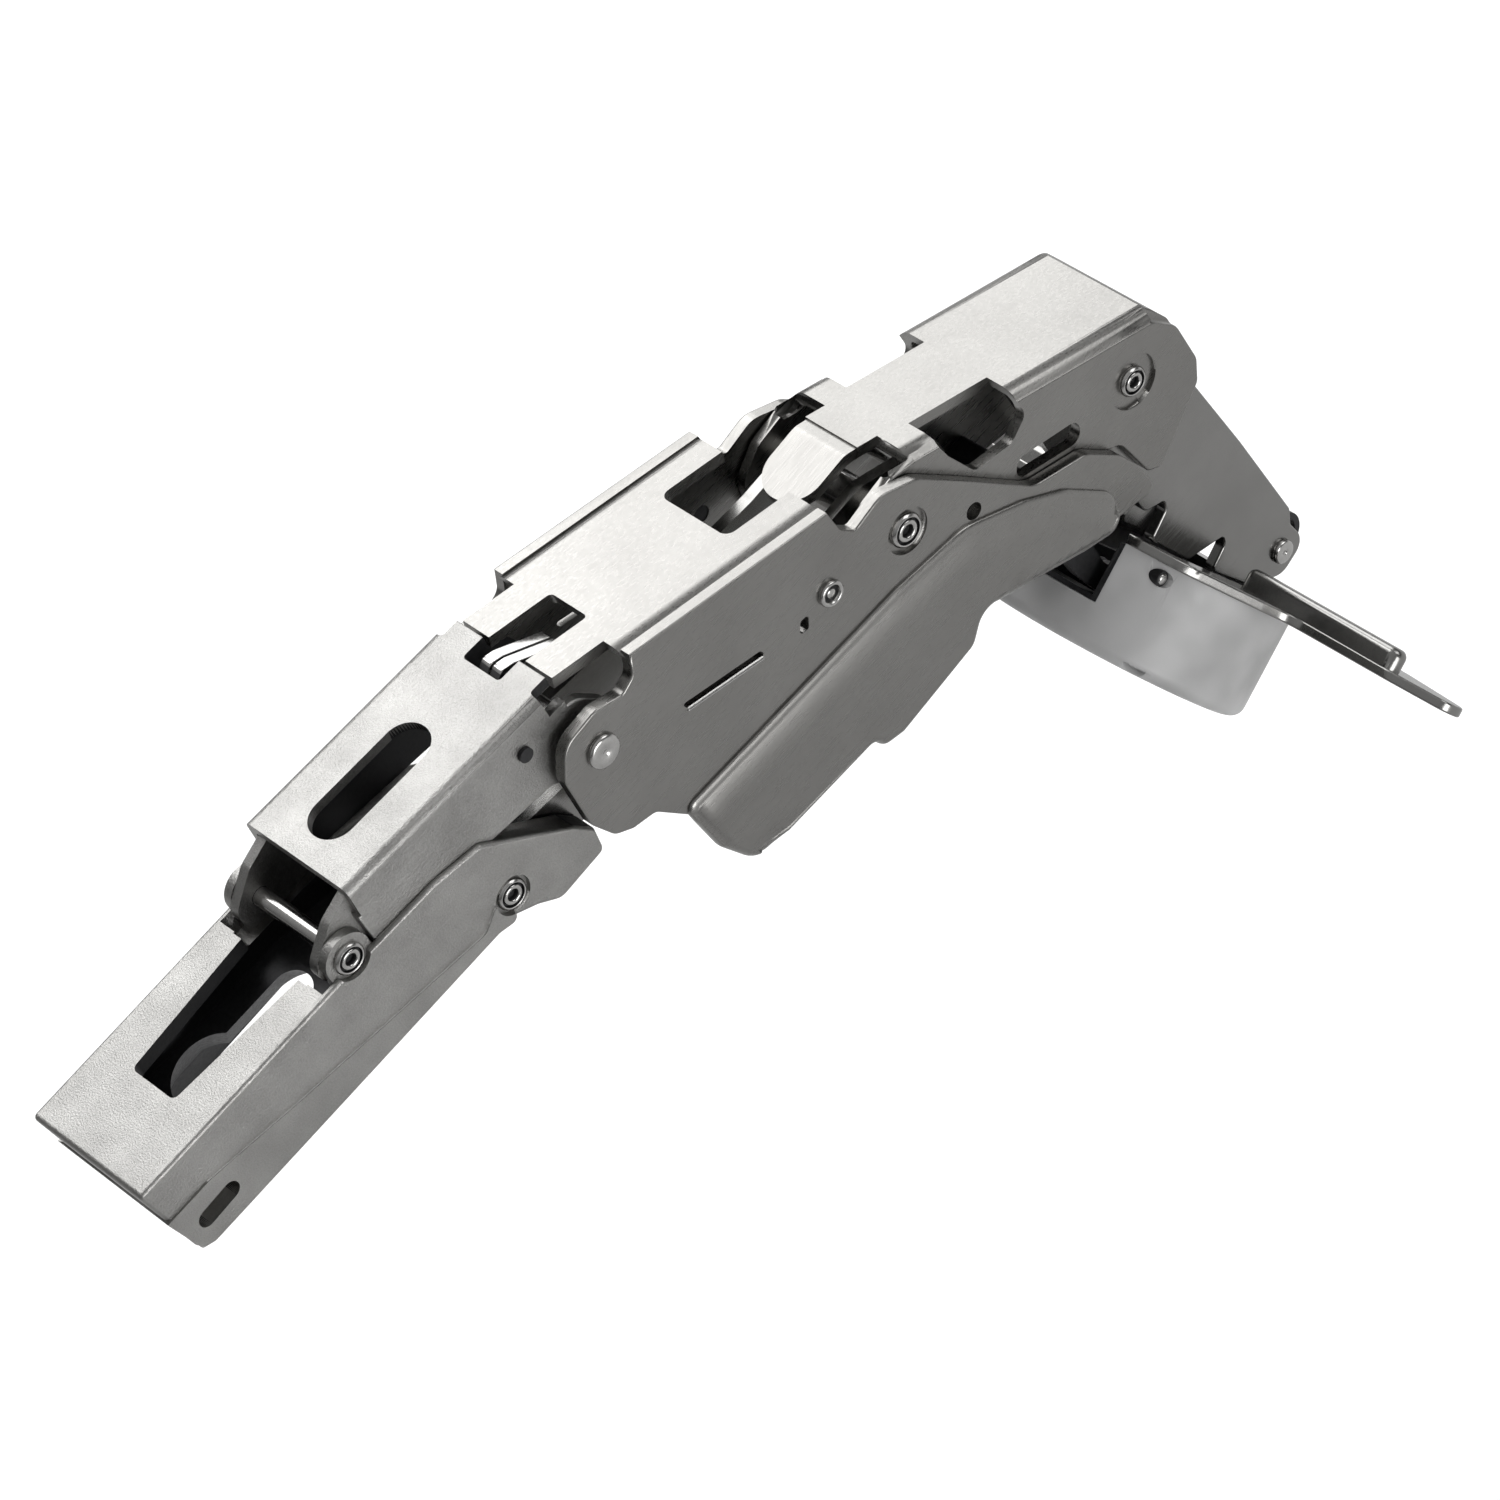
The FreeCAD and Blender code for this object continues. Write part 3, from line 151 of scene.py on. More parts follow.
@dataclass(frozen=True)
class BrushLines:
    """Long fine lines of satin brushing that run along the hinge."""

    name: str = "brush_lines"

    def build(self) -> bpy.types.ShaderNodeTree:
        """Builds the group: lines a metre across and along the hinge in, line and cloud out.

        Returns:
            The node group.
        """
        group, first, last = _socket_group(
            self.name, (("Lines", 7000.0), ("Length", 260.0)), ("Line", "Cloud"))
        place = group.nodes.new("ShaderNodeTexCoord")
        shape = group.nodes.new("ShaderNodeCombineXYZ")
        stretch = group.nodes.new("ShaderNodeVectorMath")
        stretch.operation = "MULTIPLY"
        line = group.nodes.new("ShaderNodeTexNoise")
        line.inputs["Scale"].default_value = 1.0
        line.inputs["Detail"].default_value = 2.0
        cloud = group.nodes.new("ShaderNodeTexNoise")
        cloud.inputs["Scale"].default_value = 55.0
        cloud.inputs["Detail"].default_value = 5.0
        cloud.inputs["Roughness"].default_value = 0.65
        group.links.new(first.outputs["Length"], shape.inputs["X"])
        group.links.new(first.outputs["Lines"], shape.inputs["Y"])
        group.links.new(first.outputs["Lines"], shape.inputs["Z"])
        group.links.new(place.outputs["Object"], stretch.inputs[0])
        group.links.new(shape.outputs["Vector"], stretch.inputs[1])
        group.links.new(stretch.outputs["Vector"], line.inputs["Vector"])
        group.links.new(place.outputs["Object"], cloud.inputs["Vector"])
        group.links.new(line.outputs["Fac"], last.inputs["Line"])
        group.links.new(cloud.outputs["Fac"], last.inputs["Cloud"])
        return group


def _between(
    tree: bpy.types.NodeTree, value: bpy.types.NodeSocket, low: float, high: float
) -> bpy.types.NodeSocket:
    """Maps a noise value to a range.

    Args:
        tree: The material's tree.
        value: The noise output.
        low: Result at the low end of the noise's span.
        high: Result at its high end.

    Returns:
        The mapped output.
    """
    node = tree.nodes.new("ShaderNodeMapRange")
    node.inputs["From Min"].default_value, node.inputs["From Max"].default_value = NOISE_SPAN
    node.inputs["To Min"].default_value = low
    node.inputs["To Max"].default_value = high
    tree.links.new(value, node.inputs["Value"])
    return node.outputs["Result"]


def _tint(
    tree: bpy.types.NodeTree, value: bpy.types.NodeSocket, dark: tuple, light: tuple
) -> bpy.types.NodeSocket:
    """Mixes two colours by a noise value.

    Args:
        tree: The material's tree.
        value: The noise output.
        dark: Colour at low noise.
        light: Colour at high noise.

    Returns:
        The colour output.
    """
    node = tree.nodes.new("ShaderNodeMix")
    node.data_type = "RGBA"
    node.inputs["A"].default_value = (*dark, 1.0)
    node.inputs["B"].default_value = (*light, 1.0)
    tree.links.new(_between(tree, value, 0.0, 1.0), node.inputs["Factor"])
    return node.outputs["Result"]


@dataclass(frozen=True)
class Finish:
    """One finish: two tones, a range of roughness and a bump of grain or lines.

    The grain is the pattern's number of grains or lines a metre, bump and deep_mm are the strength and
    depth of its relief, cloud is the number of broad stains a metre and blend their share in the tone. Soft
    is how much light goes in.
    """

    slot: Slot
    dark: tuple
    light: tuple
    rough: tuple
    metal: float
    grain: float
    lines: bool
    bump: float
    soft: float = 0.0
    deep_mm: float = 0.04
    cloud: float = 160.0
    blend: float = 0.5

    def build(self, groups: dict) -> bpy.types.Material:
        """Builds the material.

        Args:
            groups: The shared node groups by name.

        Returns:
            The material.
        """
        material = bpy.data.materials.new(self.slot.value)
        material.use_nodes = True
        tree = material.node_tree
        shader = tree.nodes["Principled BSDF"]
        shader.inputs["Metallic"].default_value = self.metal
        pattern = tree.nodes.new("ShaderNodeGroup")
        if self.lines:
            pattern.node_tree = groups["brush_lines"]
            pattern.inputs["Lines"].default_value = self.grain
            height, tone = pattern.outputs["Line"], pattern.outputs["Cloud"]
        else:
            pattern.node_tree = groups["cast_grain"]
            pattern.inputs["Size"].default_value = self.grain
            pattern.inputs["Cloud"].default_value = self.cloud
            pattern.inputs["Blend"].default_value = self.blend
            height, tone = pattern.outputs["Height"], pattern.outputs["Tone"]
        tree.links.new(_tint(tree, tone, self.dark, self.light), shader.inputs["Base Color"])
        tree.links.new(_between(tree, height, *self.rough), shader.inputs["Roughness"])
        bump = tree.nodes.new("ShaderNodeBump")
        bump.inputs["Strength"].default_value = self.bump
        bump.inputs["Distance"].default_value = self.deep_mm * MM
        tree.links.new(height, bump.inputs["Height"])
        tree.links.new(bump.outputs["Normal"], shader.inputs["Normal"])
        if self.soft:
            shader.inputs["Subsurface Weight"].default_value = self.soft
            shader.inputs["Subsurface Radius"].default_value = (SOFT_M, SOFT_M, SOFT_M)
            shader.inputs["Subsurface Scale"].default_value = SOFT_SCALE
        return material


FINISHES = (
    Finish(
        Slot.CAST, dark=(0.23, 0.227, 0.22), light=(0.37, 0.366, 0.356), rough=(0.28, 0.44), metal=1.0,
        grain=4600.0, lines=False, bump=0.9, deep_mm=0.08),
    Finish(
        Slot.BRIGHT, dark=(0.22, 0.216, 0.208), light=(0.255, 0.251, 0.242), rough=(0.25, 0.35), metal=1.0,
        grain=5200.0, lines=True, bump=0.16),
    Finish(
        Slot.SIDE, dark=(0.225, 0.223, 0.216), light=(0.27, 0.267, 0.26), rough=(0.18, 0.27), metal=1.0,
        grain=5200.0, lines=True, bump=0.12),
    Finish(
        Slot.RIVET, dark=(0.40, 0.395, 0.385), light=(0.50, 0.495, 0.485), rough=(0.13, 0.22), metal=1.0,
        grain=2600.0, lines=False, bump=0.2, deep_mm=0.01),
    Finish(
        Slot.SPRING, dark=(0.05, 0.05, 0.052), light=(0.08, 0.08, 0.082), rough=(0.35, 0.45), metal=1.0,
        grain=2600.0, lines=False, bump=0.2),
    # Dark steel of the dark parts, also laid on faces inside hollows and channels as painted shade.
    Finish(
        Slot.DARK, dark=(0.02, 0.02, 0.021), light=(0.045, 0.045, 0.047), rough=(0.34, 0.50), metal=0.75,
        grain=2600.0, lines=False, bump=0.25),
    Finish(
        Slot.GREY, dark=(0.12, 0.122, 0.126), light=(0.17, 0.173, 0.178), rough=(0.42, 0.52), metal=0.0,
        grain=1400.0, lines=False, bump=0.2),
    Finish(
        Slot.CUP, dark=(0.34, 0.34, 0.34), light=(0.53, 0.53, 0.53), rough=(0.34, 0.48), metal=0.0,
        grain=420.0, lines=False, bump=0.2, soft=0.35, deep_mm=0.12, cloud=95.0, blend=1.0),
)


@dataclass
class Palette:
    """All finishes, built once."""

    made: dict

    @classmethod
    def build(cls) -> "Palette":
        """Builds the groups and the materials.

        Returns:
            The palette with every finish.
        """
        groups = {"cast_grain": CastGrain().build(), "brush_lines": BrushLines().build()}
        return cls({finish.slot: finish.build(groups) for finish in FINISHES})

    def dress(self, piece: bpy.types.Object, slot: Slot) -> None:
        """Gives a piece its finish.

        Args:
            piece: A CAD node or a new piece.
            slot: The finish.
        """
        material = self.made[slot]
        if len(piece.material_slots) == 0:
            piece.data.materials.append(material)
            return
        for place in piece.material_slots:
            place.material = material


def _finish_mesh(name: str, bm: bmesh.types.BMesh, sharp_deg: float = SHARP_DEG) -> bpy.types.Object:
    """Turns a bmesh into an object with smooth shading up to a sharp angle.

    Args:
        name: The piece's name.
        bm: The mesh, which is freed.
        sharp_deg: Edges above this angle stay sharp.

    Returns:
        The new object, linked to the scene.
    """
    mesh = bpy.data.meshes.new(name)
    bm.to_mesh(mesh)
    bm.free()
    mesh.shade_smooth()
    mesh.set_sharp_from_angle(angle=math.radians(sharp_deg))
    piece = bpy.data.objects.new(name, mesh)
    bpy.context.scene.collection.objects.link(piece)
    even = piece.modifiers.new("even", "WEIGHTED_NORMAL")
    even.keep_sharp = True
    even.weight = NORMAL_WEIGHT
    return piece


def _take_place(
    piece: bpy.types.Object, node: str, body: Body, slot: Slot, palette: Palette, dark: bool
) -> None:
    """Puts a new piece in the place of a CAD node.

    Args:
        piece: The new piece.
        node: The CAD node that it replaces.
        body: The body that it moves with.
        slot: Its finish.
        palette: The finishes.
        dark: Whether its faces of material index 1 take the dark finish as painted shade.
    """
    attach(piece, body.value)
    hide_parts(node)
    palette.dress(piece, slot)
    # The second material, the dark finish, is painted shade on the faces in hollows.
    if dark:
        piece.data.materials.append(palette.made[Slot.DARK])
    LOG.info("%s: %d faces", piece.name, len(piece.data.polygons))


@dataclass
class Rounded:
    """A stamped, cast or moulded piece: the CAD node's mesh made clean, with smooth shading.

    Edge_mm breaks its hard edges, shape moves its vertices, and inside says which faces take the dark
    finish as painted shade.
    finish.
    """

    node: str
    body: Body
    slot: Slot
    edge_mm: float = 0.0
    segments: int = 2
    shape: Callable[[bmesh.types.BMesh], None] = None
    inside: Callable[[Vector], bool] = None

    def build(self, palette: Palette) -> bpy.types.Object:
        """Builds the rounded piece in place of its node.

        Args:
            palette: The finishes.

        Returns:
            The new piece.
        """
        bm = bmesh.new()
        bm.from_mesh(frame["nodes"][self.node].data)
        bmesh.ops.remove_doubles(bm, verts=bm.verts, dist=MERGE_MM * MM)
        bmesh.ops.dissolve_degenerate(bm, dist=MERGE_MM * MM, edges=bm.edges)
        bm.normal_update()
        bmesh.ops.dissolve_limit(
            bm, angle_limit=math.radians(FLAT_DEG), use_dissolve_boundaries=False, verts=bm.verts,
            edges=bm.edges)
        bm.normal_update()
        if self.shape:
            self.shape(bm)
            bm.normal_update()
        if self.edge_mm:
            self._bevel(bm)
        # Faces that the mask picks take the dark finish as painted shade.
        if self.inside:
            for face in bm.faces:
                face.material_index = int(self.inside(face.calc_center_median()))
        piece = _finish_mesh(self.node + "_shaped", bm)
        _take_place(piece, self.node, self.body, self.slot, palette, dark=bool(self.inside))
        return piece

    def _bevel(self, bm: bmesh.types.BMesh) -> None:
        """Breaks the hard edges of a small plain piece.

        Args:
            bm: The piece's mesh.
        """
        limit = math.radians(HARD_DEG)
        edges = [e for e in bm.edges if len(e.link_faces) == 2 and e.calc_face_angle(0.0) > limit]
        bmesh.ops.bevel(
            bm, geom=edges, offset=self.edge_mm * MM, offset_type="OFFSET", segments=self.segments,
            profile=0.5, affect="EDGES", clamp_overlap=True, material=-1, loop_slide=True)
        bm.normal_update()


@dataclass
class Pin:
    """A turned pin or rivet across the hinge, alike on both ends.

    Place is its x and z in mm, profile runs from the middle outwards as pairs of radius and y in mm, and
    sunk is a radius and two values of y between which its faces take the dark finish as painted shade.
    """

    node: str
    body: Body
    place: tuple
    profile: tuple
    slot: Slot = Slot.RIVET
    steps: int = 40
    shade_band: tuple = (0.0, 0.0, 0.0)

    def build(self, palette: Palette) -> bpy.types.Object:
        """Spins the half profile and mirrors it.

        Args:
            palette: The finishes.

        Returns:
            The new piece.
        """
        bm = bmesh.new()
        x, z = self.place
        verts = [bm.verts.new((x * MM, y * MM, (z + r) * MM)) for r, y in self.profile]
        edges = [bm.edges.new(pair) for pair in zip(verts, verts[1:])]
        bmesh.ops.spin(
            bm, geom=verts + edges, cent=(x * MM, 0.0, z * MM), axis=ACROSS, angle=math.tau,
            steps=self.steps, use_merge=True)
        twin = bmesh.ops.duplicate(bm, geom=bm.verts[:] + bm.edges[:] + bm.faces[:])["geom"]
        mirrored = [g for g in twin if isinstance(g, bmesh.types.BMVert)]
        bmesh.ops.scale(bm, vec=(1.0, -1.0, 1.0), verts=mirrored)
        bmesh.ops.remove_doubles(bm, verts=bm.verts, dist=TURNED_MERGE_MM * MM)
        bmesh.ops.recalc_face_normals(bm, faces=bm.faces)
        # Faces in the hollow round an end take the dark finish as painted shade.
        wide, low, high = self.shade_band
        for face in bm.faces:
            spot = face.calc_center_median()
            away = math.hypot(spot.x / MM - x, spot.z / MM - z)
            face.material_index = int(away < wide and low < abs(spot.y) / MM < high)
        piece = _finish_mesh(self.node + "_turned", bm, TURNED_SHARP_DEG)
        _take_place(piece, self.node, self.body, self.slot, palette, dark=True)
        return piece


def hollow_end(shaft: float, reach: float, head: float, proud: float) -> tuple:
    """Half profile of a rivet with a rolled rim and a hollow in its end.

    Args:
        shaft: Shaft radius in mm.
        reach: Where the head starts, from the middle.
        head: Head radius.
        proud: Head height.

    Returns:
        Points of radius and place, from the middle outwards.
    """
    top = reach + proud
    return (
        (shaft, 0.0), (shaft, reach), (head * 0.97, reach), (head, reach + proud * 0.3),
        (head, reach + proud * 0.5), (head * 0.94, reach + proud * 0.8), (head * 0.86, top - 0.02),
        (head * 0.79, top - 0.06), (head * 0.74, top - 0.42), (head * 0.67, top - 0.44),
        (head * 0.63, top - 0.1), (head * 0.55, top), (head * 0.43, top - 0.03),
        (head * 0.37, top - 0.14), (head * 0.33, top - 0.7), (0.0, top - 0.74))


def hollow_shade_band(reach: float, head: float, proud: float) -> tuple:
    """Radius and levels between which a hollow end takes painted shade.

    Args:
        reach: Where the head starts, from the middle, in mm.
        head: Head radius.
        proud: Head height.

    Returns:
        The radius and the two levels.
    """
    return (head * 0.8, reach - 1.0, reach + proud - 0.2)


def hollow_pin(
    node: str, body: Body, place: tuple, shaft: float, reach: float, head: float, proud: float
) -> Pin:
    """A rivet with hollow heads that have painted shade inside.

    Args:
        node: The CAD node that it replaces.
        body: The body that it moves with.
        place: Its x and z in mm.
        shaft: Shaft radius in mm.
        reach: Where the head starts, from the middle.
        head: Head radius.
        proud: Head height.

    Returns:
        The rivet, ready to build.
    """
    return Pin(
        node, body, place, hollow_end(shaft, reach, head, proud), shade_band=hollow_shade_band(reach, head, proud))


def solid_end(shaft: float, reach: float, head: float, proud: float) -> tuple:
    """Half profile of a solid head with a centre punch.

    Args:
        shaft: Shaft radius in mm.
        reach: Where the head starts, from the middle.
        head: Head radius.
        proud: Head height.

    Returns:
        Points of radius and place, from the middle outwards.
    """
    top = reach + proud
    return (
        (shaft, 0.0), (shaft, reach), (head * 0.96, reach), (head, reach + proud * 0.2), (head, top - 0.3),
        (head * 0.95, top - 0.12), (head * 0.84, top), (head * 0.25, top + 0.02),
        (head * 0.16, top - 0.12), (0.0, top - 0.16))


def ring_end(shaft: float, reach: float, head: float, proud: float, stub: float = 1.4) -> tuple:
    """Half profile of a rolled ring with a small dome inside.

    Args:
        shaft: Shaft radius in mm.
        reach: Where the head starts, from the middle.
        head: Head radius.
        proud: Head height.
        stub: Length of the shaft behind the head.

    Returns:
        Points of radius and place, from the middle outwards.
    """
    top = reach + proud
    start = reach - stub
    return (
        (0.0, start), (shaft, start), (shaft, reach), (head * 0.95, reach), (head, reach + proud * 0.3),
        (head * 0.97, top - 0.12), (head * 0.88, top), (head * 0.76, top), (head * 0.68, top - 0.1),
        (head * 0.62, reach + 0.12), (head * 0.46, reach + 0.14), (head * 0.34, reach + 0.3),
        (0.0, reach + 0.38))


@dataclass
class Arm:
    """The cast arm with its pins, all in mm.

    Attributes:
        rear, nose: Places of the two pins in x and z.
        key_round, key_slot: Radii of the keyhole's round part and of its slot.
        key_reach: Where the slot ends.
        relief, relief_half: How far the keyhole is widened, and the half width that it never passes.
        draft: How far the rails' inner walls lean outwards at their feet.
        foot_z: Level below which a vertex belongs to a rail's foot.
        rail_wall, rail_band: Half width between the rails, and the band in which their walls take painted
            shade.
        floor_gap: Distance from the floor's underside at which the painted shade starts.
        cavity_half, cavity_top, cavity_back: Where the painted shade inside the arm ends.
    """

    rear: tuple = (17.0, 11.0)
    nose: tuple = (35.3, -1.0)
    key_round: float = 5.0
    key_reach: float = 14.5
    key_slot: float = 2.6
    relief: float = 2.2
    relief_half: float = 6.8
    draft: float = 1.1
    foot_z: float = -3.3
    rail_wall: float = 7.0
    rail_band: tuple = (6.5, 8.0)
    floor_gap: float = 0.1
    cavity_half: float = 6.4
    cavity_top: float = 9.8
    cavity_back: float = -6.8

    def _relieve_keyhole(self, bm: bmesh.types.BMesh) -> None:
        """Widens the keyhole below its upper rim, as the floor is thinner round it, and drafts the rails.

        Args:
            bm: The arm's mesh.
        """
        for vert in bm.verts:
            x, y, z = (value / MM for value in vert.co)
            if z < self.foot_z and abs(abs(y) - self.rail_wall) < NEAR_MM:
                vert.co.y += math.copysign(self.draft * MM, y)
            along = -self.key_round - 2.0 * NEAR_MM < x < self.key_reach + 2.0 * NEAR_MM
            if abs(z) > NEAR_MM or abs(y) > self.key_round + NEAR_MM or not along:
                continue
            spine = Vector((min(max(x, 0.0), self.key_reach - self.key_slot), 0.0, 0.0))
            away = Vector((x, y, 0.0)) - spine
            vert.co += away.normalized() * min(self.relief, self.relief_half - abs(y)) * MM

    def _in_cavity_shade(self, point: Vector) -> bool:
        """Says whether a face lies inside the arm or between its rails, where shade is painted in the dark
        finish.

        Args:
            point: The face's centre.

        Returns:
            Whether the face takes painted shade.
        """
        inner, outer = self.rail_band
        half = abs(point.y)
        rail = inner * MM < half < outer * MM and self.foot_z * MM < point.z < -self.floor_gap * MM
        cavity = half < self.cavity_half * MM and self.floor_gap * MM < point.z < self.cavity_top * MM
        return rail or (cavity and point.x > self.cavity_back * MM)

    def build(self, palette: Palette) -> None:
        """Builds the arm's pieces.

        Args:
            palette: The finishes.
        """
        # Faces inside the arm and between its rails take the dark finish as painted shade.
        Rounded(
            "arm_body", Body.ARM, Slot.CAST, shape=self._relieve_keyhole,
            inside=self._in_cavity_shade).build(palette)
        hollow_pin(
            "rear_pin", Body.ARM, self.rear, shaft=1.15, reach=8.6, head=1.95, proud=0.62).build(palette)
        hollow_pin(
            "nose_rivet", Body.ARM, self.nose, shaft=1.5, reach=8.7, head=1.95, proud=0.75).build(palette)


@dataclass
class RearLink:
    """The channel between the arm and the centre channel, all in mm.

    Attributes:
        inner_half, inner_top, inner_back: Where the painted shade inside the channel ends.
        strip_edge: Rounding of the catch strips.
    """

    inner_half: float = 7.35
    inner_top: float = 16.7
    inner_back: float = 24.6
    strip_edge: float = 0.12

    def _in_channel_shade(self, point: Vector) -> bool:
        """Says whether a face lies inside the channel, where shade is painted.

        Args:
            point: The face's centre.

        Returns:
            Whether the face takes painted shade.
        """
        within = abs(point.y) < self.inner_half * MM and point.z < self.inner_top * MM
        return within and point.x > self.inner_back * MM

    def build(self, palette: Palette) -> None:
        """Builds the link's pieces.

        Args:
            palette: The finishes.
        """
        # Faces inside the channel take the dark finish as painted shade.
        Rounded("rear_link", Body.REAR, Slot.CAST, inside=self._in_channel_shade).build(palette)
        for side in ("near", "far"):
            Rounded("catch_strip_" + side, Body.REAR, Slot.RIVET, edge_mm=self.strip_edge).build(palette)
        palette.dress(frame["nodes"]["stop_studs"], Slot.DARK)


@dataclass
class CentreChannel:
    """The long channel with bulged cheeks.

    Attributes:
        centre, scissor, guide: Places of its pins in x and z, in mm.
        face_mm, bulge_mm: Half widths over the cheeks and over the bulges.
        least_mm2: Area above which a face at that level is a bulge's outer face.
        downward: Height of an edge's outward direction below which it's no crease.
        grid_mm: Steps of the cuts along and across the bulge.
        soft_mm: Depth of the bulge's own rounding.
        crown_mm, drop_mm: How far in the crown reaches, and how much lower it starts at a crease.
        round_mm: Distance from a crease within which the rounding is lowered too.
        full_rise: Share of the rounding above which a vertex belongs to the outer face.
        slot_lip: Ends of the lip in x and z, in mm.
        lip_mm, lip_edge_mm, lip_sunk_mm, lip_lean_deg: Its section, rounding, depth in the cheek and lean.
        inner_mm, roof_slope, roof_mm: What is below z = roof_slope * x + roof_mm and between the cheeks
            takes
        painted shade.
    """

    centre: tuple = (51.9, 6.7)
    scissor: tuple = (94.7, -6.0)
    guide: tuple = (83.2, -3.3)
    face_mm: float = 11.2
    bulge_mm: float = 12.4
    least_mm2: float = 2.0
    downward: float = -0.1
    grid_mm: tuple = (1.6, 0.7)
    soft_mm: float = 1.05
    crown_mm: float = 3.6
    drop_mm: float = 0.62
    round_mm: float = 1.7
    full_rise: float = 0.995
    slot_lip: tuple = ((62.3, 0.85), (72.9, -2.59))
    lip_mm: tuple = (0.5, 0.55)
    lip_edge_mm: float = 0.16
    lip_sunk_mm: float = 0.1
    lip_lean_deg: float = 42.0
    inner_mm: float = 9.65
    roof_slope: float = -0.22
    roof_mm: float = 22.4

    @staticmethod
    def _grid(bm: bmesh.types.BMesh, level: float, way: Vector, step_mm: float) -> None:
        """Cuts the bulges' flat faces by planes a step apart.

        Args:
            bm: The channel's mesh.
            level: Distance of the flat faces from the middle.
            way: Direction across the planes.
            step_mm: Distance between the planes.
        """
        def flats() -> list:
            """Finds the flat faces as they are cut by now."""
            return [f for f in bm.faces if all(abs(abs(v.co.y) - level) < MERGE_MM * MM for v in f.verts)]

        reach = [way.dot(v.co) for f in flats() for v in f.verts]
        low, high, step = min(reach), max(reach), step_mm * MM
        for count in range(1, int((high - low) / step) + 1):
            faces = flats()
            edges = list(dict.fromkeys(e for f in faces for e in f.edges))
            verts = list(dict.fromkeys(v for f in faces for v in f.verts))
            bmesh.ops.bisect_plane(
                bm, geom=faces + edges + verts, dist=CUT_MM * MM,
                plane_co=way * (low + count * step), plane_no=way, clear_inner=False, clear_outer=False)

    def _creases(self, flats: list) -> list:
        """Finds the edges of the bulges' flat faces, but for those that look down.

        Args:
            flats: The flat faces.

        Returns:
            Pairs of end points.
        """
        found = []
        for face in flats:
            for loop in face.loops:
                first, last = loop.vert.co, loop.link_loop_next.vert.co
                if any(other in flats for other in loop.edge.link_faces if other is not face):
                    continue
                if (last - first).cross(face.normal).normalized().z > self.downward:
                    found.append((first.copy(), last.copy()))
        return found

    @staticmethod
    def _distance(point: Vector, creases: list) -> float:
        """Measures how far a vertex lies from the creases on its side, seen from the side.

        Args:
            point: The vertex's place.
            creases: Pairs of end points.

        Returns:
            The distance in mm.
        """
        gaps = []
        for first, last in creases:
            if first.y * point.y <= 0.0:
                continue
            spot, share = intersect_point_line(Vector((point.x, first.y, point.z)), first, last)
            spot = first if share < 0.0 else last if share > 1.0 else spot
            gaps.append(math.hypot(point.x - spot.x, point.z - spot.z))
        return min(gaps) / MM

    def _crown_bulge(self, bm: bmesh.types.BMesh) -> None:
        """Carries the bulge's rounding further in over its outer face.

        Args:
            bm: The channel's mesh.
        """
        level = self.bulge_mm * MM
        flats = [
            f for f in bm.faces
            if abs(abs(f.calc_center_median().y) - level) < LEVEL_MM * MM
            and f.calc_area() > self.least_mm2 * MM * MM]
        creases = self._creases(flats)
        rims = {vert for face in flats for vert in face.verts}
        first, last = max(creases, key=lambda pair: (pair[1] - pair[0]).length)
        along = (last - first).normalized()
        self._grid(bm, level, along, self.grid_mm[0])
        self._grid(bm, level, along.cross(ACROSS), self.grid_mm[1])
        start = (self.bulge_mm - self.soft_mm) * MM
        moved = [v for v in bm.verts if start < abs(v.co.y) < level + LEVEL_MM * MM or v in rims]
        for vert in moved:
            away = self._distance(vert.co, creases)
            rise = min((abs(vert.co.y) - start) / (self.soft_mm * MM), 1.0)
            if rise < self.full_rise:
                drop = self.drop_mm * rise if away < self.round_mm else 0.0
            else:
                drop = self.drop_mm * max(1.0 - away / self.crown_mm, 0.0) ** 2
            vert.co.y -= math.copysign(drop * MM, vert.co.y)

    def _lip(self, side: int, palette: Palette) -> None:
        """Adds the turned lip under the long slot of one cheek.

        Args:
            side: -1 for the near cheek, 1 for the far one.
            palette: The finishes.
        """
        (x0, z0), (x1, z1) = self.slot_lip
        thick, high = self.lip_mm
        run = math.hypot(x1 - x0, z1 - z0)
        bm = bmesh.new()
        bmesh.ops.create_cube(bm, size=1.0)
        bmesh.ops.scale(bm, vec=(run * MM, thick * MM, high * MM), verts=bm.verts)
        bmesh.ops.bevel(
            bm, geom=bm.edges[:], offset=self.lip_edge_mm * MM, offset_type="OFFSET", segments=3,
            profile=0.5, affect="EDGES", clamp_overlap=True, material=-1)
        lean = Matrix.Rotation(side * math.radians(self.lip_lean_deg), 4, "X")
        turn = Matrix.Rotation(math.atan2(z0 - z1, x1 - x0), 4, "Y") @ lean
        out = side * (self.face_mm - self.lip_sunk_mm) * MM
        move = Matrix.Translation(((x0 + x1) / 2 * MM, out, (z0 + z1) / 2 * MM))
        bmesh.ops.transform(bm, matrix=move @ turn, verts=bm.verts)
        piece = _finish_mesh("slot_lip_" + ("far" if side > 0 else "near"), bm, TURNED_SHARP_DEG)
        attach(piece, Body.MID.value)
        palette.dress(piece, Slot.RIVET)
        LOG.info("%s: %d faces", piece.name, len(piece.data.polygons))

    def _in_channel_shade(self, point: Vector) -> bool:
        """Says whether a face lies between the cheeks or on a strap, where shade is painted.

        Args:
            point: The face's centre.

        Returns:
            Whether the face takes painted shade.
        """
        below = point.z < self.roof_slope * point.x + self.roof_mm * MM
        return below and abs(point.y) < self.inner_mm * MM

    def build(self, palette: Palette) -> None:
        """Builds the channel's pieces.

        Args:
            palette: The finishes.
        """
